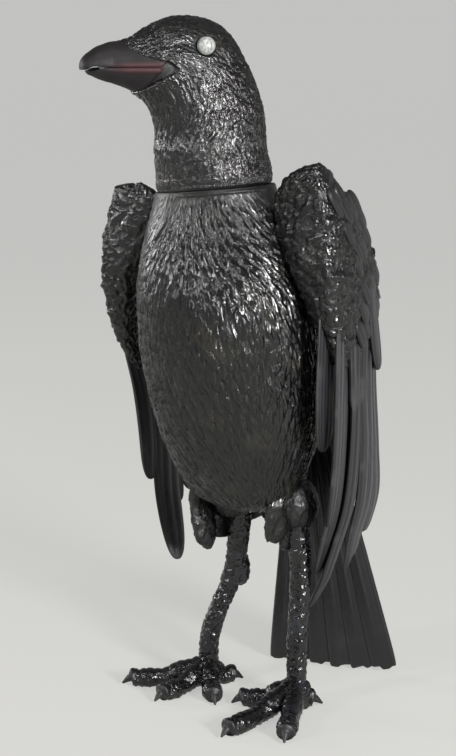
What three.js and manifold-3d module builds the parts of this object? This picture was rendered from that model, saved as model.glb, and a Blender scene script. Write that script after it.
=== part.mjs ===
// Raven figure: a cast and painted bird that stands on its own feet, wings held a little off
// its sides. Millimetres, Z up. The bird looks along -Y and its left side is +X. The pieces are
// placed from the point on the ground between the feet; the finished bird is then moved so that
// the middle of its footprint box is the origin.

import * as THREE from 'three';
import { mergeVertices } from 'three/addons/utils/BufferGeometryUtils.js';
import Module from 'manifold-3d';

const wasm = await Module();
wasm.setup();

const { abs, cos, exp, floor, hypot, max, min, PI, pow, sign, sin, sqrt } = Math;
const TURN = 2 * PI;

// Driving dimensions
const CLEARANCE = 0.3; // between neighbouring pieces
const EYE_RADIUS = 6.4;
const HEAD_TURN = 25; // degrees that the bill points to the bird's right
const HEAD_PLACE = [-12, -41]; // where the upright line through the middle of the skull stands
const SEAM_HEIGHT = 397; // joint between body and head, on the bird's middle line
const SEAM_RISE = 0.1; // how much it rises towards the bird's left
const WING_MIDDLE = -7; // the wings hang on either side of this X
const TAIL_ROOT = [22, 46, 228];
const TAIL_MIDDLE = [21, 86, 3]; // middle of its lower edge
const TAIL_WIDTH = [24, 104]; // at the root and at the lower edge
const TAIL_SIDEWAYS = [96, 26, 5]; // the way its lower edge runs
const TAIL_LIFT = 1; // clear of the ground
const TAIL_FEATHERS = 6;
const TAIL_ARCH = 2; // how far the outer feathers lie behind the middle ones

// Finishes
const GLOSS_BLACK = { color: 0x0c0c0d, roughness: 0.28, metalness: 0 };
const SATIN_BLACK = { color: 0x1b1b1d, roughness: 0.4, metalness: 0 };
const PEARL = { color: 0xb9bbb8, roughness: 0.3, metalness: 0 };

// Smooth curve through stations of the form [position, value, value...], in rising order
function through(stations) {
  const last = stations.length - 1;
  const slopes = stations.map((station, i) => {
    const before = stations[max(i - 1, 0)];
    const after = stations[min(i + 1, last)];
    return station.map((value, k) => (after[k] - before[k]) / (after[0] - before[0]));
  });
  return (position) => {
    let i = 0;
    while (i < last - 1 && position > stations[i + 1][0]) i += 1;
    const span = stations[i + 1][0] - stations[i][0];
    const t = min(max((position - stations[i][0]) / span, 0), 1);
    const rise = t * t * (3 - 2 * t);
    const leave = t * (1 - t) * (1 - t) * span;
    const arrive = t * t * (t - 1) * span;
    return stations[i].slice(1).map((value, k) => {
      const next = stations[i + 1][k + 1];
      return value + (next - value) * rise + leave * slopes[i][k + 1] + arrive * slopes[i + 1][k + 1];
    });
  };
}

function mix(a, b, t) {
  return a + (b - a) * t;
}

// 1 for values up to 0, falling to 0 at 1 as a quarter circle does
function dome(value) {
  return sqrt(1 - pow(min(max(value, 0), 1), 2));
}

function ramp(from, to, value) {
  const t = min(max((value - from) / (to - from), 0), 1);
  return t * t * (3 - 2 * t);
}

// Six times the volume that a closed geometry's faces enclose, less than 0 if they face inward
function signedVolume(geometry) {
  const { position } = geometry.attributes;
  const index = geometry.index.array;
  const corner = (i) => new THREE.Vector3().fromBufferAttribute(position, index[i]);
  let volume = 0;
  for (let i = 0; i < index.length; i += 3) {
    volume += corner(i).dot(corner(i + 1).cross(corner(i + 2)));
  }
  return volume;
}

// Closed skin over place(u, v): u runs once round, v from pole to pole. Every vertex stands at
// v of at(ring, column) and is lifted outward by lift(ring, column, u, v).
function skin(columns, rings, place, at, lift) {
  const geometry = new THREE.SphereGeometry(1, columns, rings);
  const { position, normal } = geometry.attributes;
  const step = 1e-3;
  const spots = [];
  for (let ring = 0; ring <= rings; ring += 1) {
    for (let column = 0; column <= columns; column += 1) {
      const pole = ring === 0 || ring === rings;
      const u = pole ? 0 : (column % columns) / columns;
      const v = pole ? ring / rings : at(ring, column % columns);
      const point = place(u, v);
      const along = place(u, v + step).sub(place(u, v - step));
      const across = place(u + step, v).sub(place(u - step, v));
      const out = pole ? new THREE.Vector3() : along.cross(across).normalize();
      position.setXYZ(spots.length, point.x, point.y, point.z);
      normal.setXYZ(spots.length, out.x, out.y, out.z);
      spots.push(pole ? 0 : lift(ring, column % columns, u, v));
    }
  }
  const facing = sign(signedVolume(geometry));
  spots.forEach((height, i) => {
    const point = new THREE.Vector3().fromBufferAttribute(position, i);
    point.addScaledVector(new THREE.Vector3().fromBufferAttribute(normal, i), facing * height);
    position.setXYZ(i, point.x, point.y, point.z);
  });
  if (facing < 0) geometry.index.array.reverse();
  return geometry;
}

// Smooth closed skin, grown outward by a constant amount
function plain(columns, rings, place, grow = 0) {
  return skin(columns, rings, place, (ring) => ring / rings, () => grow);
}

// Closed skin covered in overlapping pointed scales, two columns to a scale. Each row of scales
// is a raised edge followed at once by a low one, and the edge swings down at the middle of a
// scale and up between two.
function scaled(columns, rows, place, { lift, point = 0.55, grow = 0, show = () => 1 }) {
  const tip = (row, column) => ((row + column) % 2 === 0 ? 1 : -1);
  const at = (ring, column) => {
    const row = floor((ring + 1) / 2);
    const under = ring % 2 === 0 ? 0.16 : 0;
    return (row + 0.5 * point * tip(row, column) + under) / (rows + 1);
  };
  const raise = (ring, column, u, v) => {
    const row = floor((ring + 1) / 2);
    const height = tip(row, column) > 0 ? lift : 0.4 * lift;
    return grow + (ring % 2 === 1 ? height * show(u, v) : 0);
  };
  return skin(columns, 2 * rows + 1, place, at, raise);
}

function solid(geometry) {
  const bare = geometry.clone();
  bare.deleteAttribute('normal');
  bare.deleteAttribute('uv');
  const merged = mergeVertices(bare, 1e-4);
  const vertProperties = merged.attributes.position.array;
  const triVerts = new Uint32Array(merged.index.array);
  return new wasm.Manifold(new wasm.Mesh({ numProp: 3, vertProperties, triVerts }));
}

function join(solids) {
  return solids.reduce((whole, next) => whole.add(next));
}

// How the rings of a blade are spaced along it
function towardTip(share) {
  return 1 - pow(1 - share, 1.7);
}

function towardEnds(share) {
  return ramp(0, 1, ramp(0, 1, ramp(0, 1, share)));
}

// Closed blade, such as a feather: place(across, along, out) puts a point of it in space, with
// across and along from -1 to 1 and 0 to 1. It is full at the root, rounded or pointed at its
// end, and thick along its shaft. The smaller blunt is, the squarer the end.
function blade(place, { width, thick, rings = 5, blunt = 0.5, spacing = towardTip, grow = 0 }) {
  const shape = (u, v) => {
    const angle = TURN * u;
    const end = pow(max(1 - pow(v, 5), 0), blunt) * pow(max(1 - pow(1 - v, 6), 0), blunt);
    const across = cos(angle) * (0.5 * width * end + grow);
    const out = sin(angle) * (0.5 * thick * pow(end, 0.6) + grow);
    return place(across, v, out);
  };
  return skin(6, rings, shape, (ring) => spacing(ring / rings), () => 0);
}

// Body

const BODY_STATIONS = through([
  // height, middle X, middle Y, half width, reach ahead, reach behind
  [150, 0, 0, 41, 34, 44],
  [168, 0, -6, 44, 38, 48],
  [183, 0, -12, 48.5, 42, 52],
  [205, 0, -14, 57, 50, 60],
  [250, -1, -17, 66, 62, 68],
  [310, -3, -23, 66, 66, 64],
  [343, -5, -28, 59, 58, 58],
  [374, -7, -30, 50, 48, 49],
  [397, -8, -32, 43.5, 42, 43],
  [425, -8, -33, 41, 40, 41],
]);
const BODY_TOP = 414;
const BODY_BOTTOM = 150;
const BODY_DOME = 22; // height of the rounded underside
const LID = 6; // and of the lid, which the joint plane cuts away
const LID_SHARE = 0.09; // of the way from pole to pole
const DOME_SHARE = 0.06;

function bodyPlace(u, v) {
  const straight = 1 - LID_SHARE - DOME_SHARE;
  let height = mix(BODY_TOP, BODY_BOTTOM + BODY_DOME, (v - LID_SHARE) / straight);
  let size = 1;
  if (v < LID_SHARE) {
    const angle = 0.5 * PI * (1 - v / LID_SHARE);
    height = BODY_TOP + LID * sin(angle);
    size = cos(angle);
  }
  if (v > 1 - DOME_SHARE) {
    const angle = 0.5 * PI * (v - 1 + DOME_SHARE) / DOME_SHARE;
    height = BODY_BOTTOM + BODY_DOME * (1 - sin(angle));
    size = cos(angle);
  }
  const [x, y, half, ahead, behind] = BODY_STATIONS(height);
  const angle = TURN * u;
  const reach = cos(angle) > 0 ? ahead : behind;
  return new THREE.Vector3(x + size * half * sin(angle), y - size * reach * cos(angle), height);
}

function egg(centre, [x, y, z], columns, rings, grow = 0) {
  const place = (u, v) => new THREE.Vector3(
    centre[0] + x * sin(PI * v) * cos(TURN * u),
    centre[1] + y * sin(PI * v) * sin(TURN * u),
    centre[2] + z * cos(PI * v),
  );
  return solid(plain(columns, rings, place, grow));
}

// Thigh feathers, which end as a cuff round each leg
const THIGHS = [[40, 6, 158], [-20, 6, 158]];
const THIGH_SIZE = [15, 17, 20];

// Ragged feathers that hang from the flanks and under the tail
const HEM_TUFTS = 9;
const HEM_SPREAD = 0.54; // of a turn round the bird's back, from its left side to its right
const HEM_MIDDLE_Y = -5;
const HEM_REACH = [40, 43]; // sideways and back, where the tufts begin
const HEM_TUCK = 0.17; // how much of that they draw in on the way down
const HEM_TOP = 172;
const HEM_DROP = [41, 48]; // at the bird's left side and at its right
const HEM_UNEVEN = 7;
const HEM_TUFT = { width: 33, thick: 12, rings: 4, blunt: 0.35 };

function hem(grow) {
  const tufts = [];
  for (let i = 0; i < HEM_TUFTS; i += 1) {
    const share = i / (HEM_TUFTS - 1);
    const angle = PI + HEM_SPREAD * (share - 0.5) * TURN;
    const drop = mix(...HEM_DROP, share) + HEM_UNEVEN * sin(7.3 * i);
    const place = (across, along, out) => {
      const size = 1 - HEM_TUCK * along;
      return new THREE.Vector3(
        sin(angle) * (HEM_REACH[0] * size + out) + cos(angle) * across,
        HEM_MIDDLE_Y - cos(angle) * (HEM_REACH[1] * size + out) + sin(angle) * across,
        HEM_TOP - drop * along,
      );
    };
    tufts.push(solid(blade(place, { ...HEM_TUFT, grow })));
  }
  return tufts;
}

function bodySolid(grow = 0) {
  const trunk = solid(scaled(38, 11, bodyPlace, { lift: 1.8, grow }));
  const thighs = THIGHS.map((centre) => egg(centre, THIGH_SIZE, 8, 5, grow));
  return join([trunk, ...thighs, ...hem(grow)]);
}

// Head, neck and bill. The middle section is drawn in the plane of the bill: forward is the
// distance ahead of HEAD_PLACE. Its rings turn about a pivot under the bill.

const PIVOT_FORWARD = 75;
const PIVOT_HEIGHT = 425;
const NECK_DROP = 45;
const BILL_REACH = 19;

// Turn of the ring in degrees, reach of the throat and of the crown from the pivot, half width
const HEAD_RINGS = through([
  [0, 41, 121, 39],
  [15, 43, 121, 37],
  [30, 44.5, 121, 33.5],
  [45, 45.5, 121, 30],
  [60, 45.5, 106.5, 26],
  [75, 46, 81, 18.5],
  [90, 48, 74.5, 12],
]);
const NECK_RINGS = through([
  // drop below the pivot, forward ends of the section, half width
  [0, 34, -46, 39],
  [27, 31, -50, 42.5],
  [NECK_DROP, 31, -50, 43.5],
]);
const BILL_RINGS = through([
  // reach past the pivot, lower and upper edge above the pivot, half width
  [0, 48, 74.5, 12],
  [7, 50.5, 72, 10.5],
  [13, 53, 68.5, 8.5],
  [BILL_REACH, 53.5, 64, 6],
]);
const BILL_SHARE = 0.13;
const NECK_SHARE = 0.3;

function headRing(v) {
  if (v < BILL_SHARE) {
    const reach = BILL_REACH * cos(0.5 * PI * v / BILL_SHARE);
    const [low, high, half] = BILL_RINGS(reach);
    const end = (rise) => [PIVOT_FORWARD + reach, PIVOT_HEIGHT + rise];
    return { ends: [end(low), end(high)], half };
  }
  if (v > 1 - NECK_SHARE) {
    const drop = NECK_DROP * (v - 1 + NECK_SHARE) / NECK_SHARE;
    const [front, back, half] = NECK_RINGS(drop);
    return { ends: [[front, PIVOT_HEIGHT - drop], [back, PIVOT_HEIGHT - drop]], half };
  }
  const turn = 90 * (1 - (v - BILL_SHARE) / (1 - BILL_SHARE - NECK_SHARE));
  const [near, far, half] = HEAD_RINGS(turn);
  const angle = THREE.MathUtils.degToRad(turn);
  const end = (reach) => [PIVOT_FORWARD - reach * cos(angle), PIVOT_HEIGHT + reach * sin(angle)];
  return { ends: [end(near), end(far)], half };
}

// From the plane of the bill to the bird: forward, to the bird's left, up
function headFrame(forward, left, height) {
  const turn = THREE.MathUtils.degToRad(HEAD_TURN);
  return new THREE.Vector3(
    HEAD_PLACE[0] - forward * sin(turn) + left * cos(turn),
    HEAD_PLACE[1] - forward * cos(turn) - left * sin(turn),
    height,
  );
}

function headSection(u, v) {
  const { ends, half } = headRing(v);
  const close = dome(1 - v / 0.05) * dome((v - 0.96) / 0.04);
  const angle = TURN * u;
  const share = 0.5 - 0.5 * cos(angle) * close;
  const forward = mix(ends[0][0], ends[1][0], share);
  const height = mix(ends[0][1], ends[1][1], share);
  return { forward, height, left: half * close * sin(angle) };
}

function headPlace(u, v) {
  const { forward, height, left } = headSection(u, v);
  return headFrame(forward, left, height);
}

function bodySeam(lower) {
  // a thick slab whose lower or upper face is the joint plane
  const size = 300;
  const slab = new THREE.BoxGeometry(size, size, size);
  slab.translate(0, 0, lower ? 0.5 * size : -0.5 * size);
  slab.rotateY(-Math.atan(SEAM_RISE));
  slab.translate(0, 0, SEAM_HEIGHT + (lower ? -0.5 : 0.5) * CLEARANCE);
  return solid(slab);
}

function eyePlace(side) {
  return headFrame(12, side * 28.5, 497.5);
}

function eyeGeometry(side, radius) {
  const ball = new THREE.SphereGeometry(radius, 8, 6);
  ball.rotateX(0.5 * PI);
  const centre = eyePlace(side);
  ball.translate(centre.x, centre.y, centre.z);
  return ball;
}

// Where the bare bill ends and the feathers begin: distance forward, by height
const BILL_EDGE = through([
  [464, 56],
  [473, 45],
  [480, 34],
  [486, 38],
  [491, 56],
  [502, 67],
]);

// The closed mouth: a thin wedge, open right through at the tip and a groove along the sides
const MOUTH_HEIGHT = 483;
const MOUTH_WIDTH = 1.4;
const MOUTH_END = 34;
const MOUTH_OPEN = 85;

function mouth() {
  const slice = (from, to) => {
    const box = new THREE.BoxGeometry(to - from, 60, MOUTH_WIDTH);
    box.translate(0.5 * (from + to), 0, MOUTH_HEIGHT);
    box.rotateZ(-0.5 * PI - THREE.MathUtils.degToRad(HEAD_TURN));
    box.translate(HEAD_PLACE[0], HEAD_PLACE[1], 0);
    return solid(box);
  };
  const within = solid(plain(12, 12, headPlace, -2));
  return slice(MOUTH_END, MOUTH_OPEN).subtract(within).add(slice(MOUTH_OPEN - 1, 110));
}

function headSolid() {
  const show = (u, v) => {
    const { forward, height } = headSection(u, v);
    const edge = BILL_EDGE(height)[0];
    return ramp(edge + 2, edge - 3, forward);
  };
  let whole = solid(scaled(28, 12, headPlace, { lift: 1.5, show }));
  whole = whole.subtract(bodySeam(false)).subtract(mouth());
  for (const side of [-1, 1]) {
    whole = whole.subtract(solid(eyeGeometry(side, EYE_RADIUS + CLEARANCE + 0.1)));
  }
  return whole;
}

// Wings: a thick arm covered in coverts, with long flight feathers hanging from it. Both lie
// on a sheet beside the body, whose reach from WING_MIDDLE changes with height.

const SHEET_FRONT = -30;
const SHEET_BACK = 50;

const WINGS = {
  left: {
    side: 1,
    top: 417,
    lean: -0.3, // how much higher the top of the arm is for each millimetre towards the body
    reach: through([
      // height, reach at the front of the sheet and at its back
      [70, 50, 42],
      [98, 62, 58],
      [130, 74, 71],
      [163, 84, 83],
      [200, 92, 87],
      [250, 97, 89],
      [330, 99, 89],
      [390, 92, 84],
      [420, 85, 78],
    ]),
    // share from the top of the arm down, how far its front swells towards the body
    swell: through([
      [0, 30],
      [0.1, 36],
      [0.3, 36],
      [0.5, 30],
      [0.7, 22],
      [0.9, 12],
      [1, 6],
    ]),
    // flight feathers: Y and Z on the sheet from root to tip, how far out they lie
    feathers: [
      { path: [[-22, 330], [-20, 290], [-18, 250], [-13, 211]], width: 28, out: -9 },
      { path: [[-21, 325], [-16, 249], [-9, 187], [-4, 149]], width: 14, out: 2 },
      { path: [[-6, 326], [-1, 240], [6, 165], [14, 105]], width: 26, out: -1 },
      { path: [[4, 318], [12, 225], [16, 145], [19, 75]], width: 20, out: 2 },
      { path: [[20, 318], [24, 235], [35, 155], [53, 98]], width: 20, out: 1.5 },
      { path: [[28, 318], [34, 235], [44, 160], [57, 107]], width: 20, out: 1 },
      { path: [[35, 310], [41, 235], [51, 172], [66, 128]], width: 18, out: 0 },
      { path: [[24, 345], [28, 318], [34, 290], [41, 262]], width: 19, out: 4.5 },
    ],
  },
  right: {
    side: -1,
    top: 391,
    lean: 0.22,
    reach: through([
      [70, 64, 56],
      [97, 70, 62],
      [150, 83, 77],
      [200, 84, 80],
      [235, 87, 82],
      [270, 94, 86],
      [330, 100, 90],
      [400, 91, 83],
    ]),
    swell: through([
      [0, 32],
      [0.1, 38],
      [0.25, 26],
      [0.45, 12],
      [0.7, 5],
      [1, 3],
    ]),
    feathers: [
      { path: [[-22, 325], [-16, 270], [-11, 215], [-8, 160]], width: 20, out: 0 },
      { path: [[-8, 320], [0, 245], [7, 165], [2, 95]], width: 24, out: -2 },
      { path: [[-2, 315], [3, 250], [8, 190], [12, 128]], width: 22, out: 2 },
      { path: [[10, 315], [14, 255], [18, 195], [24, 135]], width: 22, out: 4 },
      { path: [[22, 310], [27, 255], [33, 200], [39, 142]], width: 24, out: 3 },
      { path: [[32, 310], [38, 260], [43, 210], [48, 160]], width: 22, out: 1 },
      { path: [[30, 345], [34, 318], [38, 290], [43, 260]], width: 20, out: 4 },
    ],
  },
};

function sheet(wing, y, height, out) {
  const reach = mix(...wing.reach(height), (y - SHEET_FRONT) / (SHEET_BACK - SHEET_FRONT));
  return new THREE.Vector3(WING_MIDDLE + wing.side * (reach + out), y, height);
}

const ARM_LENGTH = 147;
const ARM = through([
  // share from the top down, front Y, back Y, thickness inward and outward of the sheet
  [0, -38, -20, 18, 4],
  [0.1, -39, -6, 20, 6],
  [0.25, -39, 14, 20, 9],
  [0.45, -40, 34, 16, 10],
  [0.7, -36, 44, 11, 9],
  [0.9, -30, 45, 8, 7],
  [1, -26, 43, 6, 5],
]);

const SWELL_PLACE = 0.22; // share from the arm's front edge to its back at which it swells most
const FLIGHT_FEATHER = { thick: 8, rings: 5, blunt: 0.3 };

function armPlace(wing) {
  return (u, v) => {
    const angle = TURN * u;
    const down = 0.5 - 0.5 * cos(PI * v);
    const [front, back, inward, outward] = ARM(down);
    const close = pow(max(sin(PI * v), 0), 0.4);
    const rear = 0.5 - 0.5 * cos(angle);
    const share = 0.5 - 0.5 * cos(angle) * close;
    const thin = sin(angle) * (1 - 0.55 * share);
    const height = wing.top - ARM_LENGTH * down;
    const y = mix(front, back, share);
    if (thin > 0) return sheet(wing, y, height, outward * thin * close);
    const place = rear / SWELL_PLACE;
    const swell = wing.swell(down)[0] * sqrt(place) * exp((1 - place * place) / 4);
    const hollow = 1 - 0.45 * sin(PI * share);
    const depth = (swell - inward * thin * hollow) * close;
    return sheet(wing, y, height + wing.lean * depth * (1 - down) * (1 - down), -depth);
  };
}

function flightFeather(wing, { path, width, out }) {
  const line = through(path.map((point, i) => [i / (path.length - 1), ...point]));
  const place = (across, along, outward) => {
    const [y, height] = line(along);
    return sheet(wing, y + across, height, out + outward);
  };
  return solid(blade(place, { width, ...FLIGHT_FEATHER }));
}

function wingSolid(wing, body) {
  const arm = solid(scaled(16, 6, armPlace(wing), { lift: 2.4 }));
  const feathers = wing.feathers.map((feather) => flightFeather(wing, feather));
  return join([arm, ...feathers]).subtract(body);
}

// Tail: broad feathers side by side, hanging back and down to just above the ground

function tailSolid(body) {
  const root = new THREE.Vector3(...TAIL_ROOT);
  const down = new THREE.Vector3(...TAIL_MIDDLE).sub(root);
  const across = new THREE.Vector3(...TAIL_SIDEWAYS).normalize();
  const outward = down.clone().cross(across).normalize();
  const pitch = 1 / TAIL_FEATHERS;
  const feathers = [];
  for (let i = 0; i < TAIL_FEATHERS; i += 1) {
    const share = (i + 0.5) * pitch - 0.5;
    const place = (aside, along, out) => {
      const width = mix(...TAIL_WIDTH, along);
      const point = root.clone().addScaledVector(down, along);
      point.addScaledVector(across, width * (share + aside * pitch));
      point.addScaledVector(outward, out - 2 * TAIL_ARCH * abs(share));
      point.z = max(point.z, TAIL_LIFT);
      return point;
    };
    feathers.push(solid(blade(place, { width: 1.3, thick: 8, blunt: 0.07, spacing: towardEnds })));
  }
  return join(feathers).subtract(body);
}

// Legs: a tube of round sections along a path, beaded all the way
function limb(path, radius, { columns = 8, rings = 10, bead = 0, beads = 8, ground = false }) {
  const curve = new THREE.CatmullRomCurve3(path);
  const place = (u, v) => {
    const t = min(max(v, 0), 1);
    const centre = curve.getPoint(t);
    const direction = curve.getTangent(t);
    const side = new THREE.Vector3(0, 0, 1).cross(direction);
    if (side.length() < 0.5) side.set(1, 0, 0);
    side.normalize();
    const up = direction.clone().cross(side).normalize();
    const size = radius(t) * (1 + bead * cos(TURN * beads * t));
    const angle = TURN * u;
    centre.addScaledVector(side, size * cos(angle));
    centre.addScaledVector(up, size * sin(angle));
    if (ground) centre.z = max(centre.z, 0);
    return centre;
  };
  return solid(skin(columns, rings, place, (ring) => ring / rings, () => 0));
}

const CLAW = 15;
const ANKLE_HEIGHT = 17;
const PALM = [12, 12, 13];
const PALM_HEIGHT = 9;
const HEEL = [6, 7, 14];

const LEGS = {
  right: {
    ankle: [-38, -3],
    shank: [[-14, 9, 178], [-16, 10, 140], [-24, 12, 92], [-35, -1, 47], [-38, -3, 12]],
    heel: [-21, 18, 93],
    toes: [[-90, -46], [-46, -60], [-4, -38], [-20, 20]],
  },
  left: {
    ankle: [44, 1],
    shank: [[40, 4, 178], [42, 4, 140], [44, 6, 112], [45, 1, 60], [44, 1, 12]],
    heel: [42, 9, 104],
    toes: [[3, -27], [36, -84], [79, -65], [60, 14]],
  },
};

function toe(ankle, tip) {
  const reach = hypot(tip[0] - ankle[0], tip[1] - ankle[1]);
  const ahead = [(tip[0] - ankle[0]) / reach, (tip[1] - ankle[1]) / reach];
  const at = (distance, height) => new THREE.Vector3(
    ankle[0] + ahead[0] * distance,
    ankle[1] + ahead[1] * distance,
    height,
  );
  const length = reach - CLAW;
  const path = [
    at(0, ANKLE_HEIGHT),
    at(0.3 * length, 12),
    at(0.65 * length, 6.2),
    at(length, 5.4),
    at(length + 0.5 * CLAW, 6.4),
    at(reach, 1.6),
  ];
  const radius = (t) => {
    const pads = (7.8 - 1.9 * t) * (1 + 0.1 * cos(TURN * 3 * t / 0.8));
    const hook = 4 * (1 - ramp(0.72, 1.1, t));
    return mix(pads, hook, ramp(0.78, 0.83, t)) * sqrt(min(1, 12 * t));
  };
  return limb(path, radius, { columns: 6, rings: 9, ground: true });
}

function legSolid({ ankle, shank, heel, toes }, body) {
  const path = shank.map((point) => new THREE.Vector3(...point));
  const radius = (t) => mix(8.8, 7, ramp(0.1, 0.6, t)) * dome(pow(abs(2 * t - 1), 12));
  const tube = limb(path, radius, { columns: 7, rings: 16, bead: 0.05, beads: 8 });
  const palm = egg([...ankle, PALM_HEIGHT], PALM, 8, 5).trimByPlane([0, 0, 1], 0);
  const joint = egg(heel, HEEL, 6, 4);
  return join([tube, palm, joint, ...toes.map((tip) => toe(ankle, tip))]).subtract(body);
}

// The bird

const bird = new THREE.Group();

function addMesh(name, shape, finish) {
  const mesh = shape.getMesh();
  const geometry = new THREE.BufferGeometry();
  geometry.setAttribute('position', new THREE.BufferAttribute(mesh.vertProperties, 3));
  geometry.setIndex(new THREE.BufferAttribute(mesh.triVerts, 1));
  geometry.computeVertexNormals();
  const piece = new THREE.Mesh(geometry, new THREE.MeshStandardMaterial(finish));
  piece.name = name;
  bird.add(piece);
}

const clearBody = bodySolid(CLEARANCE);
addMesh('body', bodySolid().subtract(bodySeam(true)), GLOSS_BLACK);
addMesh('head', headSolid(), GLOSS_BLACK);
addMesh('wing_left', wingSolid(WINGS.left, clearBody), SATIN_BLACK);
addMesh('wing_right', wingSolid(WINGS.right, clearBody), SATIN_BLACK);
addMesh('tail', tailSolid(clearBody), SATIN_BLACK);
addMesh('leg_left', legSolid(LEGS.left, clearBody), GLOSS_BLACK);
addMesh('leg_right', legSolid(LEGS.right, clearBody), GLOSS_BLACK);
addMesh('eye_left', solid(eyeGeometry(1, EYE_RADIUS)), PEARL);
addMesh('eye_right', solid(eyeGeometry(-1, EYE_RADIUS)), PEARL);

const footprint = new THREE.Box3().setFromObject(bird);
const middle = footprint.getCenter(new THREE.Vector3());
bird.position.set(-middle.x, -middle.y, -footprint.min.z);

const raven = new THREE.Group();
raven.add(bird);

export default raven;
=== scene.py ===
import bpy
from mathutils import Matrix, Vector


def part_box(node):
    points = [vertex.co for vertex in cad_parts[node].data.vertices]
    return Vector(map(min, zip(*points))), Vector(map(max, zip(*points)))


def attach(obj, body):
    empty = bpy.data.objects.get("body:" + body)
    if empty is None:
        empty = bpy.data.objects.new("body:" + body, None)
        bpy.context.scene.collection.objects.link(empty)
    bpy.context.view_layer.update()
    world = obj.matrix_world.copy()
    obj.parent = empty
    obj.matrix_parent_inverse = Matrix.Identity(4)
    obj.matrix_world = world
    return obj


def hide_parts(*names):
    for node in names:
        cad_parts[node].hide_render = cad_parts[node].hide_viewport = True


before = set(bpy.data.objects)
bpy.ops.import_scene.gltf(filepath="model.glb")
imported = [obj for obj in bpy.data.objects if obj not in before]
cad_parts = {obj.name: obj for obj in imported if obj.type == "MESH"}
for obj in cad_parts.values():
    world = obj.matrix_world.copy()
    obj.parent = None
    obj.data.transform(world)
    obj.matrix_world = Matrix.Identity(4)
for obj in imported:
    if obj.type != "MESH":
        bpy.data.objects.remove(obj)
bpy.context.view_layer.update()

import math

import bpy
import numpy as np
from mathutils import Vector

bl_info = {
    "name": "Raven Prop",
    "version": (1, 0, 0),
    "blender": (4, 5, 0),
    "location": "View3D > Sidebar > Raven",
    "description": "A cast and painted raven with feathers in relief, built on its solid frame",
    "category": "Add Mesh",
}

# Lengths below are in millimetres from the point on the ground between the feet. The bird looks
# along -Y and its left side is +X.

TURN = 2 * math.pi
EYE_RADIUS = 6.4
EYE_SPOT = (12, 28.5, 497.5)  # forward, to the bird's left, up
HEAD_TURN = math.radians(25)  # to the bird's right
HEAD_PLACE = (-12, -41)
SEAM_HEIGHT = 397  # of the joint between body and head
SEAM_MIDDLE = (-8, -32)
SEAM_RISE = 0.1  # towards the bird's left
SEAM_GAP = 0.3


# Curves and fields

def through(stations):
    """Smooth curve through stations of the form (position, value, value...): between two of them
    a cubic whose slope at each is the slope between its neighbours."""
    table = np.array(stations, float)
    after = np.vstack([table[1:], table[-1:]])
    before = np.vstack([table[:1], table[:-1]])
    slope = (after - before) / (after[:, :1] - before[:, :1])

    def curve(position):
        place = np.asarray(position, float)
        i = np.clip(np.searchsorted(table[:, 0], place, side="left") - 1, 0, len(table) - 2)
        span = table[i + 1, 0] - table[i, 0]
        t = np.clip((place - table[i, 0]) / span, 0, 1)[..., None]
        span = span[..., None]
        rise = t * t * (3 - 2 * t)
        leave = t * (1 - t) ** 2 * span
        arrive = t * t * (t - 1) * span
        found = mix(table[i], table[i + 1], rise) + leave * slope[i] + arrive * slope[i + 1]
        return np.moveaxis(found[..., 1:], -1, 0)

    return curve


def mix(a, b, t):
    return a + (b - a) * t


def ramp(start, end, value):
    """0 up to start, 1 from end on, and a smooth step between them."""
    t = np.clip((value - start) / (end - start), 0, 1)
    return t * t * (3 - 2 * t)


def dome(value):
    """1 for values up to 0, falling to 0 at 1 as a quarter circle does."""
    return np.sqrt(1 - np.clip(value, 0, 1) ** 2)


def unit(vectors):
    return vectors / np.maximum(np.linalg.norm(vectors, axis=-1, keepdims=True), 1e-9)


def noise(points, size, seed=0):
    """Smooth random field from -1 to 1: random values at the corners of cubes of the given size,
    blended inside each cube by a smooth step along its three edges."""
    cell = np.asarray(points, float) / size
    low = np.floor(cell).astype(np.int64)
    part = cell - low
    part = part * part * (3 - 2 * part)
    total = 0
    for corner in np.ndindex(2, 2, 2):
        spot = low + corner
        mark = spot[..., 0] * 73856093 ^ spot[..., 1] * 19349663 ^ spot[..., 2] * 83492791
        mark = (mark ^ seed * 374761393) & 0xFFFFFFFF
        mark = (mark ^ mark >> 13) * 1274126177 & 0xFFFFFFFF
        value = ((mark ^ mark >> 16) & 0xFFFF) / 32767.5 - 1
        weight = np.where(np.array(corner) == 1, part, 1 - part).prod(-1)
        total = total + weight * value
    return total


def around(columns, toward=0.0, focus=0.0):
    """Angles once round, closer together where they face the given angle."""
    fine = np.linspace(0, TURN, 2000)
    spread = fine + focus * (np.sin(fine - toward) + math.sin(toward))
    return np.interp(np.arange(columns) / columns * TURN, spread, fine)


# Skins

FEATHER_POINT = 2.6  # the higher, the blunter a feather's tip
FEATHER_RIDGES = 3  # across half its width


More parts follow.
